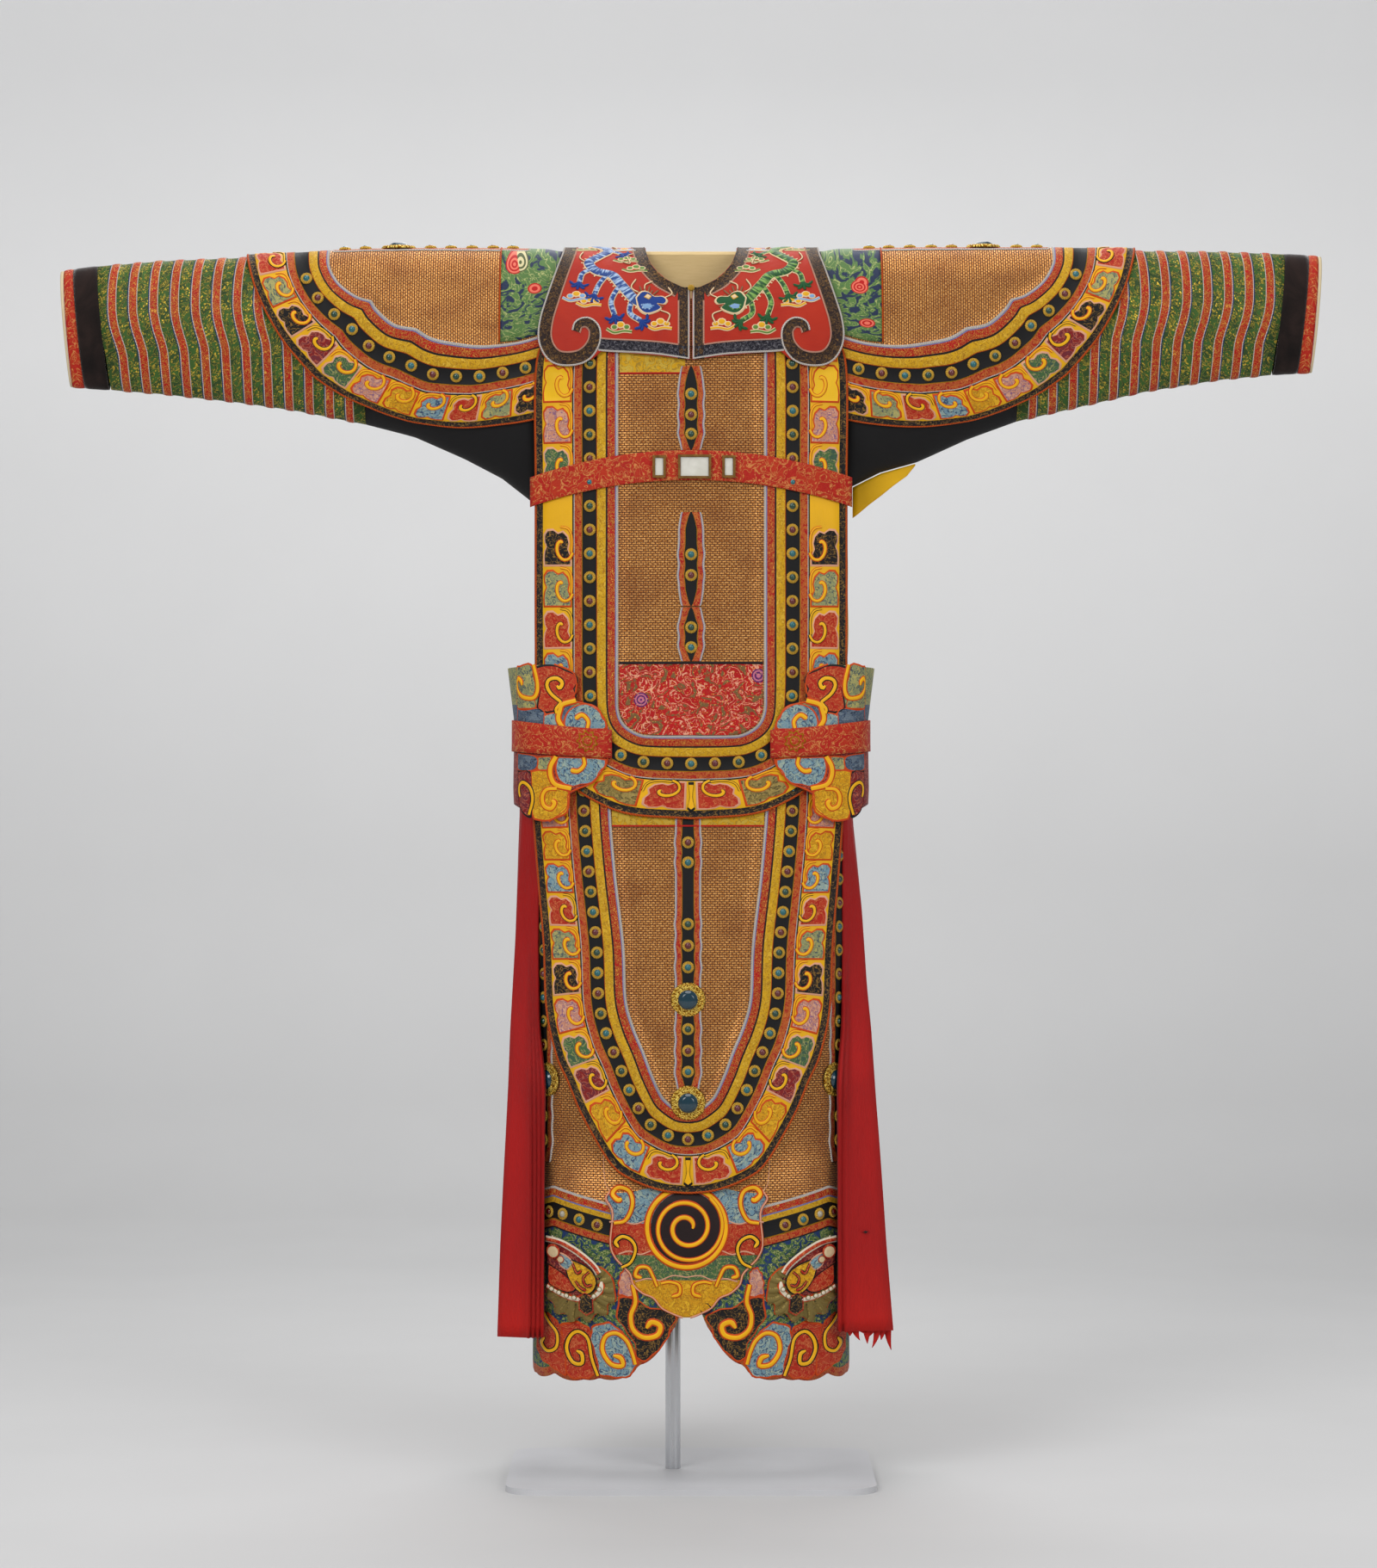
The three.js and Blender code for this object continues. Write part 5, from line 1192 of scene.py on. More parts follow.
LEG_FINISHES = {**BORDER_FINISHES, "green": leg_green("green_blue_brocade")}
LEG_BANDS = [  # heights from the hip down to the hem's lobes
    (950, 0.3, "ground"), (800, 0.3, "ground"), (700, 0.3, "ground"), (600, 0.3, "ground"),
    (520, 0.3, "ground"), (440, 0.3, "ground"), (366, 0.3, "white"), (365, 1.6, "white"),
    (363, 1.6, "vine"), (354, 1.2, "grey_blue"), (352, 1.0, "mustard"), (345, 1.0, "line"),
    (343, 0.4, "black"), (324, 0.4, "gold"), (322.6, 0.8, "red"), (314, 0.8, "line"),
    (312, 0.6, "green"), (290, 0.6, "green"), (262, 0.6, "green"), (230, 0.6, "green")]


def leg_panel(hand, side):
    sewing = Sewing(f"leg_panel_{side}", LEG_FINISHES)
    arcs = np.linspace(13, 361, 88)
    hems = np.array([hem_height(arc) for arc in arcs])
    tilt = 0.24 * (np.clip(187 - np.abs(arcs - 187), 60, 187) - 122)
    heights = [np.maximum(z + (tilt if z < 400 else tilt * 0.4), hems + 0.3 * (232 - hems)) for z, _,
        _ in LEG_BANDS]
    heights += [hems + 0.12 * (230 - hems), hems]
    lifts = [lift + 2 for _, lift, _ in LEG_BANDS] + [2.5, 2.0]
    points = np.array([hip(hand, arcs, z, lift) for z, lift in zip(heights, lifts)])
    run = np.array([np.stack([arcs, z], -1) for z in heights]) / 1000
    sewing.lay(points, run, [part for _, _, part in LEG_BANDS] + ["red", "red"])
    return sewing.done("green_brocade", f"leg_{side}", 2)


for hand, side in SIDES:
    leg_panel(hand, side)

    def spot(a, b, lift):
        return hip(hand, a, b, 2.0 + lift)

    sewing = Sewing(f"leg_{side}_strips", BORDER_FINISHES)
    middle_strip(sewing, lambda a, b, lift: spot(206 + a, b, lift), 412, 845, range(440, 840, 31))
    sewing.done("black_satin")
    sewing = Sewing(f"leg_{side}_stones", STONES)
    for number, z in enumerate(range(440, 840, 31)):
        here, out = square_to(spot, 206.0, float(z))
        if abs(z - 519) > 24:
            stone(sewing, here, out if out[0] * hand > 0 else -out, STONE_ORDER[number % 3])
    for number, arc in enumerate((122, 147, 172, 196, 220, 245, 270)):
        tilt = 0.24 * (min(187 - abs(arc - 187), 187) - 122)
        here, out = square_to(spot, float(arc), 333.5 + tilt)
        out = out if np.dot(out, here * (1, 1, 0)) > 0 else -out
        stone(sewing, here, out, ("red", "teal", "pearl", "red")[number % 4])
    sewing.done("gold")
    turn = turn_at(HIP, 2.5, 187.0, 519.0, 2.0)
    here = hanging(HIP, 2.5, hand, turn, 519.0, 2.3)
    near = hanging(HIP, 2.5, hand, turn + 0.02, 519.0, 2.3) - here
    outward = np.cross(near, (0, 0, 1.0))
    great_stone(f"leg_stone_{side}", here, outward if outward[0] * hand > 0 else -outward, f"leg_jewel_{side}")

# ---- Pleated side cloths ----
# Plain red silk, knife pleated at its front and back edges and open at the side of each leg,
# hangs from the waistband with a worn, slightly paler hem.

PLEATS = {
    "left": [(950, 199, 51, 210, 39, 222, 16, 225), (863, 200, 42, 211, 34, 224, 18, 226.5),
             (700, 202, 46, 213, 37, 231, 24, 233), (586, 198, 62, 213, 60, 237, 44, 239),
             (519, 190.5, 77.5, 213, 76, 239, 56, 241), (450, 191, 80, 213, 84, 242, 66, 244),
             (300, 190.5, 84.5, 213, 92, 249, 76, 251), (185, 191, 88, 214, 96, 253, 84, 255)],
    "right": [(950, 202, 53, 208, 46, 219, 20, 222), (863, 200, 41, 204, 34, 207.5, 20, 209.5),
              (700, 200, 46, 206, 39, 225, 24, 227), (586, 197, 61, 206, 57, 236, 44, 238),
              (519, 191, 78, 205, 77, 240, 60, 242), (450, 191, 80, 205, 84, 245, 66, 247),
              (300, 190, 85, 205, 92, 255, 76, 257), (193, 190, 88, 205, 96, 264, 84, 265)]}


def red_silk(name):
    finish = Finish(name, Sheen_Weight=0.05)
    fade = finish.axis(1).from_to(0.19, 0.3)
    crease = finish.noise((14, 5, 1), 4, 0.8)
    thread = finish.noise((1500, 60, 1), 2)
    # Painted shade: the crease noise that raises the folds also paints the colour darker in their hollows and
    # lighter on their ridges.
    base = finish.mix(crease, tint(0.5, 0.03, 0.03), tint(0.7, 0.07, 0.06))
    worn = finish.mix(thread, tint(0.66, 0.09, 0.08), tint(0.8, 0.22, 0.16))
    colour = finish.mix((1 - fade) * 0.5 + thread * 0.15, base, worn)
    return finish.done(colour, rough=0.5 + 0.25 * thread, bump=crease + thread * 0.2, depth=0.0035)


RED_SILK = red_silk("plain_red_silk")


def side_cloth(hand, side, folds):
    rows = np.array(PLEATS[side], float)[::-1]
    levels = np.linspace(rows[0, 0], rows[-1, 0], 46)
    sewing = Sewing(f"side_cloth_{side}", {"silk": RED_SILK})
    points, run = [], []
    for z in levels:
        edge_x, edge_y, fold_x, fold_y, corner_x, corner_y, out = (float(np.interp(z, rows[:, 0], rows[:, k]))
            for k in range(1, 8))
        fade = min(max((700 - z) / 200, 0), 1)
        push = 3.5 * min(max((z - 640) / 100, 0), 1) if hand > 0 else 0
        fold_x, corner_x, out = fold_x + push * 0.6, corner_x + push, out + push
        across = np.array([fold_y - edge_y, edge_x - fold_x])
        across /= np.linalg.norm(across)
        line = []
        for step in range(2 * folds + 1):
            part = step / (2 * folds)
            back = 8.0 * fade if step % 2 else 0
            part = (step + 0.7) / (2 * folds) if step % 2 else part
            line.append((edge_x + (fold_x - edge_x) * part - across[0] * back,
                edge_y + (fold_y - edge_y) * part - across[1] * back))
        corner = [((fold_x * (1 - t) + corner_x * t), (fold_y * (1 - t) + corner_y * t))
            for t in (0.25, 0.5, 0.75, 1)]
        turn = [(corner_x * (1 - t) + out * t, corner_y * (1 - t)) for t in (0.25, 0.5, 0.75, 1)]
        half = line + corner + turn
        whole = half + [(x, -y) for x, y in half[-2::-1]]
        whole = [(x + 0.8 * math.sin(y / 9 + z / 60), y) for x, y in whole]
        chords = run_along(whole)
        points.append([(hand * x, -y, z) for x, y in whole])
        run.append(np.stack([chords, np.full_like(chords, z)], -1) / 1000)
    sewing.lay(points, run, heart=(hand * 150, 0, 400))
    return sewing.done("red_silk", f"pleats_{side}", 1.6)


side_cloth(-1, "left", 4)
side_cloth(1, "right", 2)


# The torn hem of the right cloth: tapering shreds, and a small tear above, whose opening is a black patch that
# is painted shade.
sewing = Sewing("hem_threads", {"silk": RED_SILK, "ink": BORDER_FINISHES["line"]})
for front in (-1, 1):
    for number, x in enumerate((207, 214, 221, 229, 236, 243, 250, 257)):
        long = (9, 15, 7, 20, 12, 26, 16, 30)[number]
        y = front * np.interp(x, (205, 255, 264), (93, 77.5, 50))
        rows = [[(x + wide * (4.6 * (1 - down ** 1.5) + 0.4) + 7 * down ** 2 * math.sin(number),
            y + front * 0.4, 196 - long * down) for wide in (-1, 0, 1)] for down in np.linspace(0, 1, 7)]
        sewing.lay(rows, heart=(x, 0, 190))
# The tear's opening is a black patch edged in red silk: painted shade inside the tear.
tear_shade_outline = pairs(222, 322, 227, 324, 233, 322, 228, 319)
patch(sewing, lambda a, b, c: np.stack(np.broadcast_arrays(a, np.interp(a, (205, 255), (-92.6, -77)) - c, b),
    -1), tear_shade_outline, "ink", "silk", 0.6)
sewing.done("red_silk", thick=0.5)

# ---- Pendant and beast heads ----
# Between the legs hangs a padded pendant of cloud lobes round a dark roundel. On each leg a
# stuffed beast's head of khaki silk sits over the hem.

PENDANT = pairs(216, 6, 220, 17, 228, 33, 241, 44, 247, 58, 258, 70, 271, 74, 281, 83, 293, 94, 311, 100, 350,
    97, 368, 106, 378, 101, 389, 107, 425, 109, 470, 108)


def hip_front(x, z, lift, form=HIP, power=2.5):
    """A point in front of the legs at a place x, z."""
    x, z, lift = np.broadcast_arrays(x, z, lift)
    turn = turn_at(form, power, np.abs(x), z, lift)
    point = hanging(form, power, 1, turn, z, lift)
    point[..., 0] *= np.sign(x)
    return point


PENDANT_FINISHES = {**CLOUDS, "roundel": satin("brown_satin", (0.12, 0.07, 0.07), 0.4)}
LEFT_SCROLLS = [  # ribbons of the pendant's left half, as distances from its middle and heights
    (pairs(-94, 337, -79, 341, -70, 361, -74, 378, -88, 383, -96, 375, -89, 367, -84, 369), "edge", 8),
    (pairs(-84, 280, -72, 287, -66, 303, -71, 315, -83, 320, -92, 313, -88, 306), "ink", 7),
    (pairs(-38, 256, -43, 268, -50, 280, -62, 280, -66, 270, -58, 267), "edge", 6.5),
    (pairs(-33, 260, -22, 262, -10, 258, -9, 247, -19, 243), "edge", 6)]


def pendant_spot(a, b, lift):
    tucked = 4.2 * np.clip((b - 368) / 10, 0, 1)  # under the tongue's end
    return hip_front(a - 6.0, b, 5.1 + lift - tucked)


sewing = Sewing("pendant_cloth", PENDANT_FINISHES)
table = np.array(PENDANT, float)
levels = np.concatenate([np.linspace(216.2, 264, 12), [264.1], np.linspace(268, 296, 6), [296.1],
    np.linspace(300, 337, 6), [337.1], np.linspace(342, 470, 12)])
across = np.linspace(-1, 1, 31)
points, run, parts = [], [], []
for z in levels:
    x = across * np.interp(z, table[:, 0], table[:, 1])
    points.append(pendant_spot(x, z, 1.2 * (1 - across ** 4)))
    run.append(np.stack([x, np.full_like(x, z)], -1) / 1000)
    parts.append("gold" if z < 264 else "green" if z < 296 else "red" if z < 337 else "blue")
sewing.lay(points, run, parts)
sewing.done("brocade", "pendant_front", 2.2)
sewing = Sewing("pendant_scrolls", PENDANT_FINISHES)
turn = np.linspace(0, 2 * math.pi, 45)
rows = [pendant_spot(share * 46 * np.cos(turn), 332 + share * 46 * np.sin(turn), np.array(2.6 + lift))
    for share, lift in ((0, 0.6), (0.5, 0.5), (0.9, 0.3), (1, -0.6))]
sewing.lay(rows, None, "roundel")
ribbon(sewing, pendant_spot, circle(0, 332, 51, 2 * math.pi + 0.1, 40, start=0.1), 9, "ribbon", "edge", 2.2,
    1.4, 80, False)
coil = [((49 - 41 * t) * math.cos(0.9 - 13.6 * t), 332 + (49 - 41 * t) * math.sin(0.9 - 13.6 * t))
    for t in np.linspace(0, 1, 42)]
ribbon(sewing, pendant_spot, coil, 8, "ribbon", "edge", 2.4, 2.4, 110)
for side in (-1, 1):
    for path, edge, wide in LEFT_SCROLLS:
        ribbon(sewing, pendant_spot, [(-side * a, b) for a, b in path], wide, "ribbon", edge, 2.4, 1.2, 30)
    line = [(side * (half - 1.2), z) for z, half in PENDANT]
    ribbon(sewing, pendant_spot, line, 3.2, "cream", "edge", 1.8, -0.2, 60, False)
    for seam in (pairs(52, 341, 68, 336, 84, 340, 100, 338), pairs(46, 302, 60, 297, 74, 301, 88, 297),
            pairs(0, 268, 18, 270, 34, 264, 50, 266, 66, 262)):
        ribbon(sewing, pendant_spot, [(side * a, b) for a, b in seam], 2.2, "cream", "cream", 1.2, 0.6, 16,
            False)
ribbon(sewing, pendant_spot, pairs(16, 227, 24, 235, 32, 227, 24, 220, 16, 227), 1.8, "ink", "ink", 0.8, 0.3,
    25, False)
sewing.done("brocade")

HEM_LOBES = [  # the hem's clouds on each leg: silk, outline and the ribbon on it, by x and height
    ("pink", pairs(95, 242, 94, 265, 86, 280, 76, 275, 75, 258, 70, 241),
     [], "edge", 0),
    ("black", pairs(95, 242, 76, 242, 58, 231, 36, 226, 18, 218, 26, 200, 32, 185, 44, 171, 58, 159,
              70, 161, 73, 179, 86, 200, 97, 215),
     pairs(76, 258, 72, 236, 78, 218, 75, 200, 61, 190, 44, 193, 40, 205, 51, 210, 58, 202), "edge", 10),
    ("blue", pairs(130, 202, 112, 209, 97, 204, 81, 186, 70, 165, 69, 153, 83, 137, 101, 137,
             119, 140, 124, 165, 131, 184),
     pairs(72, 155, 77, 172, 84, 186, 97, 195, 111, 190, 115, 172, 104, 155, 89, 153, 91, 163,
      101, 166), "edge", 8.5),
    ("red", pairs(172, 202, 151, 208, 132, 200, 128, 175, 119, 150, 124, 139, 140, 133, 162, 137,
            165, 172),
     pairs(121, 139, 129, 161, 134, 186, 147, 195, 158, 187, 162, 171, 154, 155, 142, 154,
      142, 166, 149, 170), "ink", 8),
    ("red", pairs(202, 208, 187, 215, 172, 202, 165, 172, 162, 137, 179, 143, 197, 154, 204, 175),
     pairs(193, 215, 186, 204, 175, 190, 176, 172, 188, 166, 196, 175, 192, 183), "ink", 7)]
FACE = {**CLOUDS, "eye": satin("eye_silk", (0.8, 0.72, 0.58), 0.45), "tooth": satin("tooth_silk",
    (0.86, 0.82, 0.74), 0.5), "mane": satin("khaki_silk", (0.47, 0.41, 0.24), 0.6, crease=1.6)}
MANE = pairs(188, 309, 176, 312, 160, 300, 143, 296, 128, 284, 112, 277, 101, 265, 98, 250, 97, 236, 107, 231,
    108, 218, 122, 219, 131, 208, 143, 214, 155, 206, 163, 216, 176, 215, 180, 228, 190, 236, 189, 262, 190,
    286)


def lobes_and_head(hand, side):
    def spot(a, b, lift):
        return hip_front(hand * a, b, 2.2 + lift)

    sewing = Sewing(f"hem_clouds_{side}", CLOUDS)
    for number, (fill, outline, scroll, edge, wide) in enumerate(HEM_LOBES):
        line = looped(outline, 41)
        away = line - line.mean(axis=0)
        line = line + 1.1 * away / np.linalg.norm(away, axis=1)[:, None] * np.sin(np.arange(40) * 1.57)[:, None]
        patch(sewing, spot, line, fill, "edge", 1.8, (number * 40, 0), 4)
        if scroll:
            ribbon(sewing, spot, scroll, wide, "ribbon", edge, 2.4, 1.4, 34)
    sewing.done("brocade")

    def dome(a, b, lift):
        a, b = a, b
        away = ((a - 145) / 50) ** 2 + ((b - 258) / 54) ** 2
        return hip_front(hand * a, b, 4.5 + 8.5 * np.clip(1 - away, 0, 1) ** 0.6 + lift)

    sewing = Sewing(f"head_{side}", FACE)
    line = np.array([*MANE, MANE[0]], float)
    middle = np.array((145.0, 258.0))
    shares = (0, 0.2, 0.4, 0.6, 0.75, 0.88, 0.96, 1.0)
    flat = np.array([middle + (rounded(line, 64) - middle) * share for share in shares])
    folds = 0.9 * np.sin(np.linspace(0, 26, 64))[None, :] * np.array(shares)[:, None]
    points = np.array([dome(row[:, 0], row[:, 1], fold) for row, fold in zip(flat, folds)])
    points[-1] = hip_front(hand * flat[-1][:, 0], flat[-1][:, 1], 3.2)
    sewing.lay(points, flat / 1000, ["mane"] * 6 + ["edge"])

    def shape(outline, fill, edge, high, lift=0.0):
        patch(sewing, raised(dome, lift), looped(outline, 22), fill, edge, high)

    for number, (a, b) in enumerate(MANE[5:19]):
        start = (0.45 * a + 0.55 * 150, 0.45 * b + 0.55 * 258)
        bend = (0.75 * a + 0.25 * 150 + (3 if number % 2 else -3), 0.75 * b + 0.25 * 258 - 2)
        ribbon(sewing, dome, [start, bend, (0.96 * a + 6, 0.97 * b + 7.5)], 9, "mane", "khaki", 3.2, 0.1, 12,
            False, 0.5)
    shape(pairs(190, 309, 172, 306, 152, 299, 134, 287, 119, 270, 118, 254, 130, 243, 150, 240, 172, 245, 189,
        253), "maroon", "ink", 2.6)
    shape(pairs(188, 282, 170, 273, 156, 262, 148, 250, 160, 245, 178, 250, 188, 258), "red", "ink", 4)
    shape(pairs(156, 290, 140, 284, 127, 275, 121, 260, 127, 247, 138, 243, 150, 250, 160, 264, 164, 280),
        "gold", "ink", 5, 0.5)
    for flames in (pairs(132, 274, 140, 266, 136, 256, 128, 258), [(154, 284), (148, 272), (142, 276)],
            [(150, 262), (144, 254), (136, 250)]):
        ribbon(sewing, raised(dome, 5), flames, 4.5, "red", "ink", 1.6, 0.4, 10)
    shape(pairs(176, 298, 162, 294, 152, 284, 160, 274, 172, 281), "blue", "cream", 4.6, 1)
    ribbon(sewing, raised(dome, 2), pairs(190, 312, 174, 310, 156, 303, 140, 293, 127, 282, 120, 272), 8.5,
        "red", "tooth", 4.6, 0.5, 30, False, 0.5)
    for number in range(13):
        a, b = 182 - 5 * number, 315.5 - 0.09 * (number + 1.5) ** 2 - 1.9 * number
        ribbon(sewing, raised(dome, 2.5), [(a, b - 3), (a - 1.5, b + 2)], 2.4, "tooth", "tooth", 2.4, 0.2, 5,
            False)
    for a, b, size, high in ((180, 297, 9.5, 6.5), (170, 288, 5.5, 4)):
        patch(sewing, raised(dome, 3), circle(a, b, size, 6.0, 16), "eye", "red", high, rings=4)
    ribbon(sewing, raised(dome, 1.5), pairs(188, 252, 174, 245, 160, 240, 146, 238, 130, 240, 118, 250, 116,
        262), 9, "tooth", "edge", 3.2, 0.2, 34)
    for a, b in ((182, 249), (172, 245), (162, 242), (152, 240), (126, 243), (119, 252)):
        patch(sewing, raised(dome, 4), circle(a, b, 3.6, 5.6, 9), "tooth", "mane", 2.6)
    patch(sewing, raised(dome, 2.5), pairs(146, 243, 138, 249, 127, 242, 126, 222, 136, 216, 146, 224), "black",
        "red", 2.8)
    return sewing.done("khaki", f"beast_{side}")


for hand, side in SIDES:
    lobes_and_head(hand, side)

# ---- Waist guards and belts ----
# A stiff padded guard of cloud appliqué in silk wraps each hip. It is sewn under a belt of
# red brocade that runs round the waist and holds it.

GUARD = {"z": (855, 900, 960, 990, 1064), "half": (230, 232, 231, 231, 240), "deep": (99.2, 99.2, 99.2, 97.7,
    94.1)}
GUARD_EDGE = pairs(857, 184, 874, 161, 892, 159, 899, 148, 909, 125, 922, 118, 936, 106.5, 977, 106.5, 998,
    116.5, 1009, 132, 1015, 156, 1024, 149.5, 1042, 148, 1053, 155, 1062, 177)


def round_hip(hand, rows, lift):
    """A wall round one hip between front and back, from (x, z, height at the side) rows."""
    points, run = [], []
    share = np.linspace(0, 1, 61)
    for x, z, side_z in rows:
        start = turn_at(GUARD, 4, x, z, lift)
        turn = start + (math.pi - 2 * start) * share
        height = z + (side_z - z) * np.sin(math.pi * share)
        row = hanging(GUARD, 4, hand, turn, height, lift)
        points.append(row)
        run.append(np.stack([run_along(row) + x, height], -1) / 1000)
    return np.array(points), np.array(run)


SLATE = brocade("slate_brocade", (0.3, 0.36, 0.44), (0.14, 0.17, 0.24), (0.5, 0.54, 0.56), 8, 0.52)


def waist_guard(hand, side):
    sewing = Sewing(f"guard_{side}", {**CLOUDS, "slate": SLATE})
    table = np.array(GUARD_EDGE, float)
    rows = []
    for z in np.linspace(857, 1062, 42):
        rows.append((np.interp(z, table[:, 0], table[:, 1]), z, 880 + 178 * (z - 857) / 205))
    points, run = round_hip(hand, rows, 0.6 + 2.2)
    parts = ["maroon" if z < 940 else "slate" if z < 1004 else "sage" for _, z, _ in rows]
    sewing.lay(points, run, parts, heart=(0, 0, 960))
    return sewing.done("brocade", f"waist_guard_{side}", 2.2)


def waist_belt(hand, side):
    sewing = Sewing(f"waist_band_{side}", {"red": RED_BROCADE, "gold": BORDER_FINISHES["gold"]})
    rows = [(103, 939.6 + 37 * t, 949 + 41 * t) for t in np.linspace(0, 1, 7)]
    points, run = round_hip(hand, rows, 0.6 + 2.2 + 1.2 + 1.8)
    sewing.lay(points, run, heart=(0, 0, 960))
    for front in (1, -1):
        def spot(a, b, lift, front=front):
            return hip_front(hand * a, b, 5.6 + lift, GUARD, 4) * (1, front, 1)

        ring = [((13 + 2 * math.cos(9 * w)) * math.cos(w) + 135, (13 + 2 * math.cos(9 * w)) * math.sin(w) + 962)
            for w in np.linspace(0, 6.2, 45)]
        patch(sewing, spot, ring, "red", "gold", 1.2)
        patch(sewing, raised(spot, 1), circle(135, 962, 7, 6, 12), "red", "gold", 1.2)
    return sewing.done("red_brocade", f"waist_belt_{side}", 1.8)


GUARD_CLOUDS = [  # silk, corded edge and outline of each cloud, by x and height
    ("slate", "edge", pairs(235, 1005, 218, 1003, 192, 1004, 190, 978, 235, 983)),
    ("sage", "edge", pairs(243, 1056, 236, 1061, 226, 1061, 209, 1064, 205, 1046, 200, 1029, 204, 1017,
                      202, 1004, 219, 1003, 236, 1005, 240, 1029)),
    ("blue", "edge", pairs(193, 997, 175, 999, 173, 978, 192, 979)),
    ("red", "ink", pairs(204, 1059, 192, 1062, 175, 1061, 164, 1055, 151, 1050, 147, 1039, 152, 1030,
                    149, 1022, 153, 1015, 169, 1013, 175, 1002, 188, 998, 202, 1004, 198, 1029)),
    ("blue", "edge", pairs(167, 978, 166, 991, 159, 1003, 145, 1010, 130, 1010, 119, 1003, 114, 991,
                      106, 977)),
    ("slate", "edge", pairs(235, 948, 201, 942, 203, 924, 234, 925)),
    ("sage", "edge", pairs(201, 942, 180, 942, 184, 924, 201, 924)),
    ("maroon", "ink", pairs(233, 925, 210, 923, 208, 892, 208, 863, 219, 866, 230, 881, 234, 900)),
    ("gold", "edge", pairs(210, 924, 199, 926, 184, 925, 181, 911, 174, 902, 159, 897, 158, 883,
                      161, 868, 175, 861, 188, 857, 199, 858, 208, 863, 209, 892)),
    ("blue", "edge", pairs(175, 942, 107, 939, 113, 926, 121, 915, 130, 907, 144, 905, 157, 902,
                      171, 909, 176, 917, 178, 929))]
GUARD_RIBBONS = [(pairs(166, 978, 173, 990, 171, 1002, 167, 1010, 150, 1015), "edge", 9.5, False),
    (pairs(175, 998, 176, 1004, 170, 1012, 175, 1017, 183, 1024, 188, 1034, 185, 1042, 175, 1044, 168, 1038,
    171, 1031, 175, 1034), "ink", 8, True), (pairs(206, 1062, 201, 1041, 201, 1026, 207, 1018, 221, 1020, 233,
    1029, 236, 1039, 231, 1044, 224, 1041, 222, 1035), "edge", 8.5, True), (pairs(135, 978, 134, 988, 142, 996,
    151, 991), "edge", 8, True), (pairs(176, 942, 183, 929, 183, 916, 176, 905, 156, 900), "edge", 9.5, False),
    (pairs(140, 941, 139, 931, 147, 923, 157, 924), "edge", 8, True), (pairs(175, 900, 188, 899, 194, 890, 192,
    878, 183, 874, 178, 881, 182, 885), "edge", 8.5, True), (pairs(212, 866, 207, 885, 210, 900, 219, 908, 227,
    905, 229, 897, 226, 889), "ink", 7.5, True)]


def guard_clouds(hand, side):
    """Clouds on the guard, in front and mirrored behind."""
    sewing = Sewing(f"guard_{side}_clouds", {**CLOUDS, "slate": SLATE})
    for front in (1, -1):
        def spot(a, b, lift, front=front):
            a = a
            a = np.where(a > 220, 220 + 9.5 * np.tanh((a - 220) / 14), a)
            return hip_front(hand * a, b, 2.8 + lift, GUARD, 4) * (1, front, 1)

        for number, (fill, edge, outline) in enumerate(GUARD_CLOUDS):
            line = looped(outline, 29)
            line[:, 0] = np.maximum(line[:, 0], 109)
            patch(sewing, spot, line, fill, edge, 0.9, (47 * number, 11 * front), 4)
        for path, edge, wide, blob in GUARD_RIBBONS:
            ribbon(sewing, spot, path, wide, "ribbon", edge, 1.4, 0.6, 28, blob)
        line = [(max(x, 107.5) + 1.5, z) for z, x in GUARD_EDGE]
        ribbon(sewing, spot, line, 2.6, "edge", "edge", 1.2, -0.2, 70, False)
    return sewing.done("brocade")


for hand, side in SIDES:
    waist_guard(hand, side)
    waist_belt(hand, side)
    guard_clouds(hand, side)

# ---- Chest belt ----
# A narrow belt of red brocade curves across the chest and is sewn down on the front panel. It
# carries three milky glass plaques, each held in a cast bronze frame.


sewing = Sewing("chest_band", {"red": RED_BROCADE})
x = np.linspace(-211, 211, 71)
points, run = [], []
for part, high in ((-0.5, 0), (-0.46, 0.5), (-0.25, 0.4), (0, 0.4), (0.25, 0.4), (0.46, 0.5), (0.5, 0)):
    z = 1321 - 33 * (x / 211) ** 2 + 39 * part
    points.append(torso(x, shoulder_angle(z), 4.4 + 1.8 + high))
    run.append(np.stack([x, z], -1) / 1000)
sewing.lay(points, run)
sewing.done("red_brocade", "chest_belt", 1.8)


milk = Finish("milky_glass", along="Object", Roughness=0.25, Coat_Weight=0.4)
haze = milk.noise(60, 4, 0.6)
milky = milk.done(milk.mix(haze, tint(0.72, 0.71, 0.66), tint(0.9, 0.89, 0.86)), bump=haze, depth=0.0004)
bronze = Finish("dark_bronze", along="Object", Metallic=0.8)
patina = bronze.noise(160, 4)
rim = bronze.done(bronze.mix(patina, tint(0.28, 0.2, 0.12), tint(0.6, 0.46, 0.28)), rough=0.35 + 0.3 * patina,
    bump=patina, depth=0.0006)
for name in ("middle", "left", "right"):
    dress(f"plaque_{name}", milky)
    dress(f"plaque_{name}_frame", rim)

# ---- Collar ----
# A red satin collar with scrolled corners lies over the shoulders, edged in dark brocade
# between white cords, and fastens at the neck with a gilt ball.

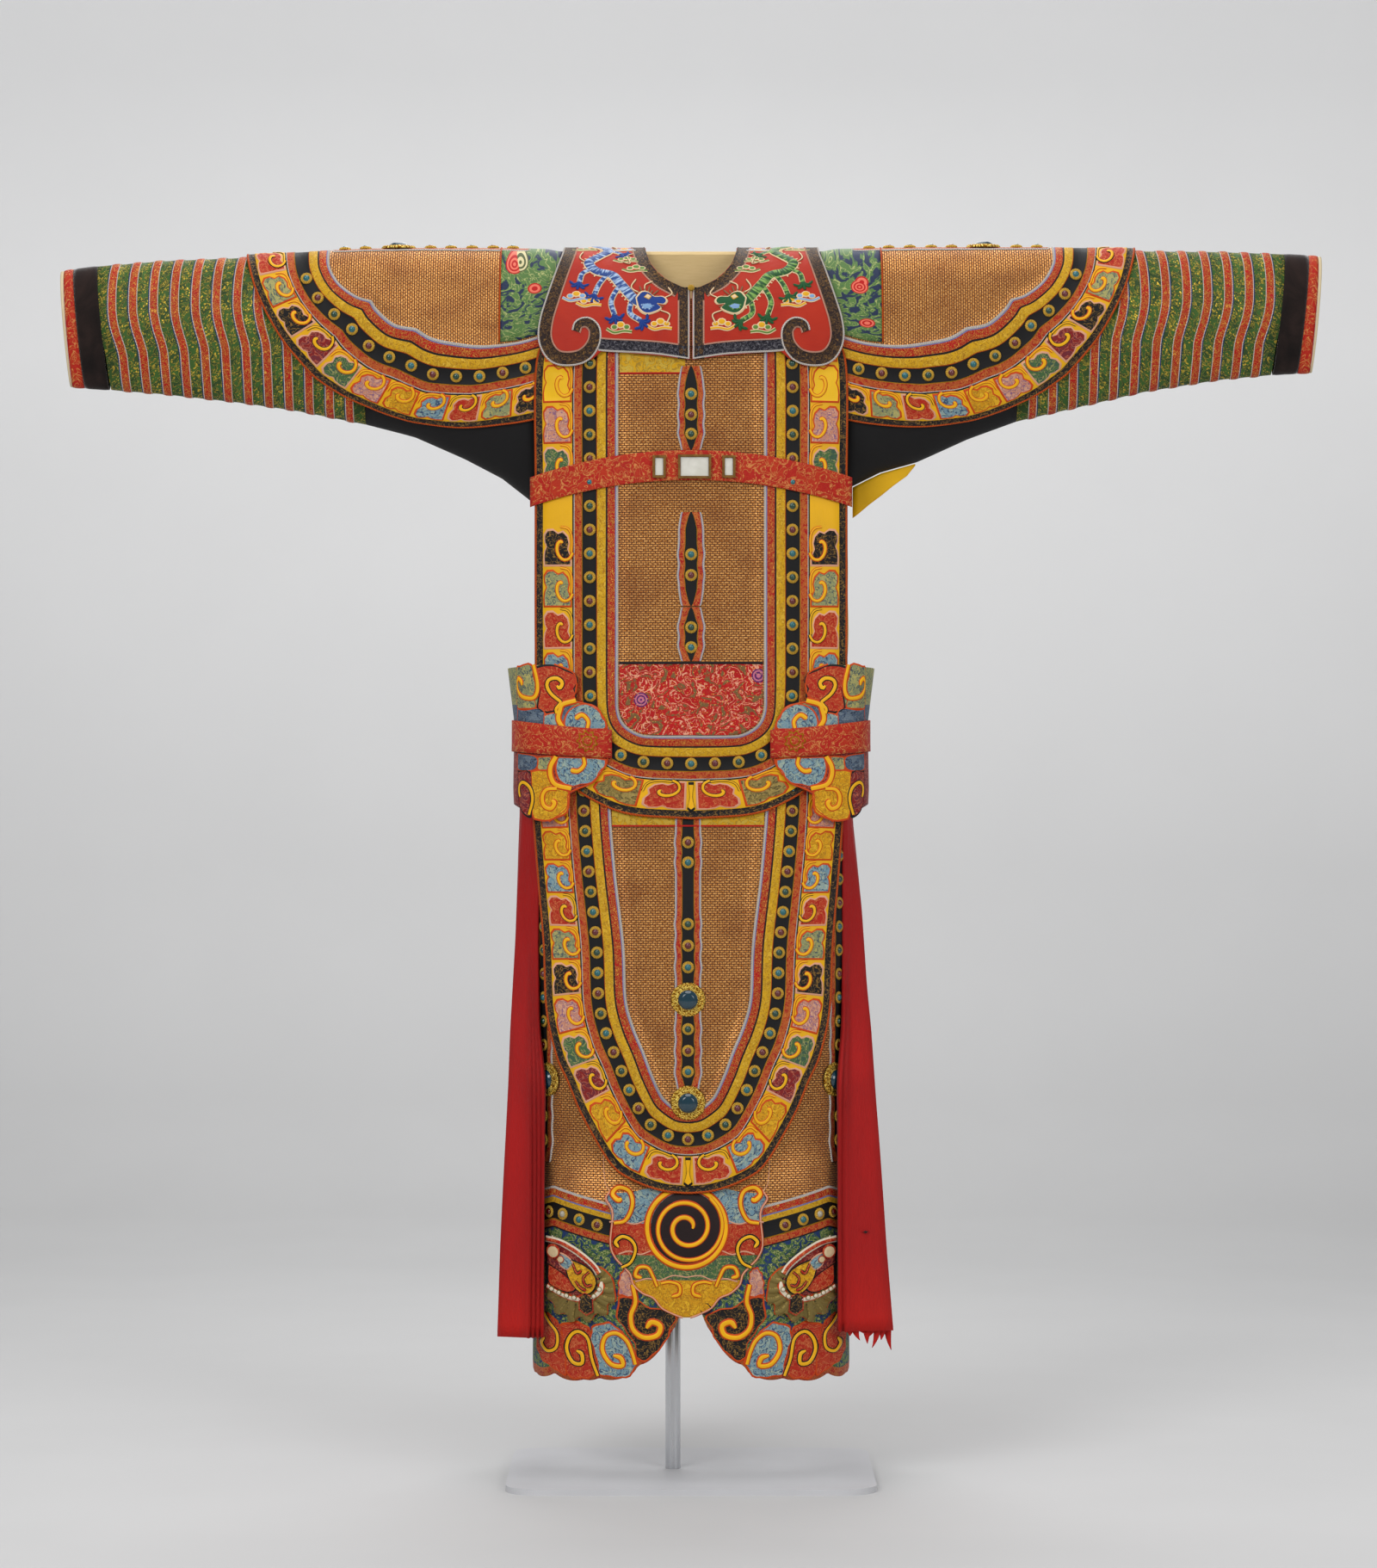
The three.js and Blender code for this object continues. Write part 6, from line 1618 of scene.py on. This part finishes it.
COLLAR = [(1.2, 1548, 1.2, 1458, 1), (12, 1550, 40, 1463, 1), (25, 1556, 85, 1467, 1), (34, 1561, 117, 1469, 1),
    (38, 1565, 128, 1460, 1), (44, 1570, 150, 1451, 1), (48, 1575, 178, 1452, 1), (52, 1580, 194, 1466, 1),
    (55, 1586, 201, 1488, 1), (57, 1592, 198, 1511, 1), (59, 1597, 190, 1536, 1), (60, 1602, 180.5, 1564, 1),
    (60, 1605, 173, 1586, 1), (61, 1606.5, 169, 1600, 1), (61, 1607, 168, 1607, 1), (61, 1606.5, 169, 1600, -1),
    (60, 1605, 173, 1586, -1), (58, 1602, 181, 1562, -1), (54, 1599, 191, 1533, -1), (47, 1596, 198, 1500, -1),
    (36, 1594, 184, 1464, -1), (18, 1592, 100, 1458, -1), (0, 1592, 0, 1458, -1)]
# The collar's crease ridges take a paler orange red: worn fading and painted highlight together.
COLLAR_SATIN = satin("collar_satin", (0.62, 0.16, 0.1), 0.5, wear_and_highlight=(0.68, 0.23, 0.15), crease=4)


sewing = Sewing("collar_satin", {"satin": COLLAR_SATIN})
for hand in (-1, 1):
    fine = np.linspace(0, len(COLLAR) - 1, 4 * (len(COLLAR) - 1) + 1)
    table = np.array(COLLAR, float)
    neck_x, neck_z, edge_x, edge_z = (np.interp(fine, range(len(table)), table[:, k]) for k in range(4))
    front = np.where(fine <= 14, 1, -1)
    rows, run = [], []
    for part in np.linspace(0, 1, 15):
        angle = shoulder_angle(neck_z) + (shoulder_angle(edge_z) - shoulder_angle(neck_z)) * part
        row = torso(hand * (neck_x + (edge_x - neck_x) * part), front * angle, 6.4 + 2.2 + 0.2)
        rows.append(row)
        run.append(np.stack([row[..., 0], row[..., 2] + 300 * (front < 0)], -1) / 1000)
    sewing.lay(rows, run, heart=(hand * 60, 0, 1400))
sewing.done("collar_satin", "collar", 2.2)


def shoulder_run(z, back=False):
    """The length from the chest line up over the shoulder, which goes on down the back."""
    up = SHOULDER_RISE * (math.pi / 2 - float(shoulder_angle(z)))
    return SHOULDER_RISE * math.pi - up if back else up


def collar_spot(hand, under=8.8):
    return lambda a, b, lift: torso(hand * a, math.pi / 2 - b / SHOULDER_RISE, under + lift)


def run_of(places):
    """(x, height) or (x, height, back) as places on the collar."""
    return [(place[0], shoulder_run(place[1], len(place) > 2)) for place in places]


OUTER_EDGING = run_of([(0, 1467.5, 1), (40, 1467.5, 1), (100, 1468, 1), (150, 1470, 1), (176, 1474, 1),
    (188, 1498, 1), (182, 1531, 1), (172, 1560, 1), (164, 1584, 1), (160, 1598, 1), (158.5, 1607), (160, 1598),
    (164, 1585), (171.5, 1563), (181, 1535), (188.5, 1511), (191, 1489), (185, 1472), (173, 1462),
    (154, 1460.5), (138, 1466), (127, 1480), (126, 1496), (135, 1505), (146, 1503), (150, 1494)])
FOOT_EDGING = run_of(pairs(120, 1478, 105, 1476.5, 85, 1475.5, 58, 1474, 36, 1472, 17.4, 1469.4))
NECK_EDGE = run_of([(12, 1550), (25, 1556), (34, 1561), (44, 1570), (52, 1580), (57, 1592), (60, 1602),
    (61, 1607), (60, 1605, 1), (58, 1602, 1), (54, 1599, 1), (47, 1596, 1), (36, 1594, 1), (18, 1592, 1),
    (0, 1592, 1)])
COLLAR_FINISHES = {
    "white": BORDER_FINISHES["white"], "dark": BORDER_FINISHES["dark"],
    "pink": cording("pale_pink_cord", (0.86, 0.66, 0.58), 2.2),
    "brown": brocade("brown_gold_brocade", (0.13, 0.08, 0.07), (0.52, 0.39, 0.24), (0.18, 0.12, 0.1), 7, 0.52,
                     gold=True),
    "navy": brocade("navy_brocade", (0.06, 0.05, 0.09), (0.44, 0.43, 0.45), (0.12, 0.11, 0.16), 7, 0.52)}


def edging(sewing, spot, path, width, part, count, tail=0.0, shift=0.0, outer="white", inner="pink"):
    """A flat band of brocade between an outer white cord and an inner pink one."""
    line = rounded(path, count)
    side = beside(line)
    share = np.linspace(0, 1, count)
    ending = np.clip(((share if tail > 0 else 1 - share) - 0.8) / 0.2, 0, 1)
    half = width / 2 * (1 - abs(tail) * ending)
    lengths = run_along(line)
    rows, run = [], []
    section = ((-1, 0, 0.0, outer), (-1, 1.0, 1.5, outer), (-1, 2.2, 0.6, part), (0, 0, 0.5, part),
        (1, -2.0, 0.6, inner), (1, -0.9, 1.4 if inner == "pink" else 0.4, inner), (1, 0, 0.1, inner))
    for sign, inset, lift, _ in section:
        offset = sign * half + inset
        at = line + side * (offset + shift)[:, None]
        rows.append(spot(at[:, 0], at[:, 1], np.full(count, lift)))
        run.append(np.stack([lengths, offset], -1) / 1000)
    sewing.lay(rows, run, [row[3] for row in section])


sewing = Sewing("collar_edging", COLLAR_FINISHES)
for hand in (-1, 1):
    spot = collar_spot(hand)
    edging(sewing, spot, NECK_EDGE[::-1], 18.4, "brown", 90, shift=9.5, outer="dark")
    edging(sewing, spot, FOOT_EDGING[::-1], 17, "navy", 40)
    for path, width, part, aside in (([(12, 1550), (1.2, 1548)], 18.4, "brown", 9.5),
            ([(2.5, 1467), (17.4, 1469.4)], 17, "navy", 0)):
        edging(sewing, spot, run_of(path), width, part, 6, shift=aside, outer="dark" if aside else "white",
            inner=part)
    for high, low, inner in ((1549, 1532, "brown"), (1532, 1478, "pink"), (1478, 1459, "brown")):
        edging(sewing, spot, run_of([(9.6, high), (9.6, low)]), 15.5, "brown", 8, inner=inner)
    edging(sewing, collar_spot(hand, 9.0), OUTER_EDGING[::-1], 19, "brown", 190, -0.35)
sewing.done("collar_satin")


def scales(name, colour, dark):
    """A dragon's body: couched scales of floss silk."""
    finish = Finish(name, Sheen_Weight=0.05)
    scale = finish.cells(330)
    base = finish.mix(scale.from_to(0.3, 0.6), tint(*colour), tint(*dark))
    return finish.done(base, rough=0.5, bump=1 - scale, depth=0.0006)


DRAGON_FINISHES = {
    "blue": scales("blue_scales", (0.62, 0.7, 0.8), (0.16, 0.26, 0.48)),
    "green": scales("green_scales", (0.46, 0.6, 0.32), (0.12, 0.28, 0.14)),
    "deep_blue": satin("deep_blue_floss", (0.08, 0.22, 0.48), 0.45),
    "cream": satin("cream_floss", (0.86, 0.76, 0.62)),
    "deep_green": satin("deep_green_floss", (0.1, 0.3, 0.16), 0.45),
    "sky": satin("sky_floss", (0.5, 0.62, 0.76), 0.45), "gold": satin("gold_floss", (0.82, 0.62, 0.18), 0.4),
    "leaf": satin("leaf_floss", (0.34, 0.48, 0.22), 0.45),
    "brown": satin("brown_floss", (0.5, 0.36, 0.26), 0.5)}
DRAGON_BODY = pairs(126, 224, 124, 206, 112, 192, 110, 174, 122, 158, 134, 142, 124, 124, 104, 116, 94, 102, 84,
    88, 74, 76, 64, 70)
DRAGON_LEGS = [[(130, 128), (142, 120), (146, 104)], [(108, 120), (120, 100), (126, 84)],
    [(118, 172), (102, 176), (92, 168)], [(74, 84), (80, 58), (66, 46)], [(92, 100), (104, 74), (100, 54)]]
CURLS = [(150, 80, "sky"), (84, 150, "leaf"), (138, 190, "leaf"), (92, 36, "leaf"), (40, 40, "gold"),
    (132, 72, "gold"), (88, 188, "sky"), (72, 128, "leaf")]


def dragon(hand, skin, deep):
    """A scaled dragon winding down the collar among clouds, in floss silk."""
    spot = collar_spot(hand, 8.9)
    sewing = Sewing(f"collar_dragon_{'left' if hand < 0 else 'right'}", DRAGON_FINISHES)
    spine = rounded(DRAGON_BODY, 60)
    for path in DRAGON_LEGS:
        ribbon(sewing, spot, path, 8, skin, "cream", 1.3, 0.2, 16, False, 0.22)
        (a, b), way = path[-1], math.atan2(path[-1][1] - path[-2][1], path[-1][0] - path[-2][0])
        for turn in (-1.5, -0.8, 0, 0.8, 1.5):
            tip = (a + 13 * math.cos(way + turn), b + 13 * math.sin(way + turn))
            bend = (a + 8 * math.cos(way + 0.6 * turn), b + 8 * math.sin(way + 0.6 * turn))
            ribbon(sewing, spot, [(a, b), bend, tip], 3.8, deep, deep, 1.2, 0.6, 7)
    ribbon(sewing, spot, DRAGON_BODY, 15, skin, "cream", 1.6, 0.3, 80, False, 0.14)
    for place in range(3, 58, 2):
        (a, b), (u, v) = spine[place], spine[place] - spine[place - 1]
        reach = 7.5 / math.hypot(u, v)
        ribbon(sewing, spot, [(a - v * reach * 0.8, b + u * reach * 0.8), (a - v * reach * 1.4,
            b + u * reach * 1.4)], 2, "cream", "cream", 0.8, 0.3, 4, False)
    for number in range(13):
        way = 0.2 + 0.27 * number
        start, tip = ((60 + far * math.cos(way), 72 + far * math.sin(way)) for far in (8,
            25 - 5 * (number % 2)))
        ribbon(sewing, spot, [start, tip], 2.2, "brown", "brown", 0.8, 0.8, 8)
    head = pairs(74, 78, 66, 88, 56, 87, 48, 80, 36, 80, 30, 74, 34, 68, 44, 69, 38, 62, 48, 56, 60, 54, 70, 62)
    patch(sewing, spot, looped(head, 36), deep, "cream", 2.4)
    patch(sewing, raised(spot, 2), pairs(62, 78, 57, 83, 51, 79, 55, 74), "cream", "gold", 1.2)
    patch(sewing, raised(spot, 2), pairs(66, 68, 56, 70, 46, 65, 54, 60, 64, 61), "sky", skin, 1.0)
    for path in ([(66, 84), (78, 94), (72, 108)], [(60, 86), (60, 98), (50, 104)],
            [(34, 78), (25, 84), (30, 94)], [(40, 60), (28, 54), (32, 42)], [(116, 196), (98, 190), (104, 212)],
            [(136, 142), (146, 156), (142, 176)], pairs(92, 146, 80, 140, 84, 160, 76, 168)):
        ribbon(sewing, spot, path, 2.8, "cream", "brown", 1.2, 0.4, 14)
    for number, (a, b, tone) in enumerate(CURLS):
        ribbon(sewing, spot, [(a - 15, b - 4), (a - 4, b - 3), (a + 8, b - 5), (a + 18, b)], 4.4, tone, "cream",
            1.0, 0.2, 12, False)
        for du, dv, size in ((-8, 2, 5.0), (0, 5, 6.2), (8, 2, 5.0)):
            ring = circle(a + du, b + dv, size, 5.5, 9, 0.8)
            patch(sewing, spot, ring, "gold" if du == 0 and number % 3 == 0 else tone, "cream", 1.1)
    return sewing.done("collar_satin")


dragon(-1, "blue", "deep_blue")
dragon(1, "green", "deep_green")

# ---- Side panels, underarm flap and neck button ----
# Yellow silk panels close the body under the arms, a flap of the same silk hangs from the right
# sleeve, and a small gilt ball fastens the collar.

YELLOW_SILK = satin("yellow_side_silk", (0.84, 0.66, 0.1), 0.45, crease=1.2)


def side_panel(hand, side):
    sewing = Sewing(f"side_silk_{side}", {"silk": YELLOW_SILK})
    bulge = 2 if hand < 0 else 6
    rows, run = [], []
    across = np.linspace(-1, 1, 17)
    for level in np.linspace(1, 0, 25):
        z = 1266 - 312 * level
        reach = -torso(202, shoulder_angle(z), 0)[1] - 0.3
        wave = bulge * (1 - across ** 2) * math.sin(math.pi * (0.15 + 0.85 * level))
        fold = 0.5 * np.sin(z / 17 + 2 * across) * (1 - across ** 2)
        rows.append(np.stack([hand * (200.5 + wave + fold + 1.5), across * reach, np.full(17, z)], -1))
        run.append(np.stack([across * reach, np.full(17, z)], -1) / 1000)
    sewing.lay(rows, run)
    return sewing.done("yellow_silk", f"side_panel_{side}", 1.5)


side_panel(-1, "left")
side_panel(1, "right")


sewing = Sewing("underarm_silk", {"silk": YELLOW_SILK})
x = np.array([214, 222, 236, 252, 268, 286, 297.0])
low = np.array([1258, 1264, 1276, 1288, 1301, 1314, 1328.0])
top = np.maximum(track(SLEEVE, "low1", x, "x") - 3, low + 1)
rows = [np.stack([x, -0.75 + 1.2 * np.sin(x / 9) * part * (1 - part), low + (top - low) * part], -1)
    for part in np.linspace(0, 1, 8)]
sewing.lay(rows, heart=(250, 50, 1300))
sewing.done("yellow_silk", "underarm_flap_right", 1.5)


sewing = Sewing("neck_ball", {"gilt": STONES["rim"]})
middle = torso(0.0, shoulder_angle(1545.0), 6.4 + 2.2 + 4.5 + 0.9)
turn = np.linspace(0, 2 * math.pi, 25)
rows = [middle + np.stack([4.5 * math.sin(a) * np.cos(turn), 4.5 * math.sin(a) * np.sin(turn),
    np.full(25, 4.5 * math.cos(a))], -1) for a in np.linspace(0, math.pi, 13)]
run = [np.stack([turn * 0.0075, np.full(25, k * 0.001)], -1) for k in range(13)]
sewing.lay(rows, run, heart=middle)
sewing.done("gold", "neck_button")

size = {"cad": [list(map(float, corner)) for corner in cad_box],
        "visual": [list(map(float, corner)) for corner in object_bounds()]}
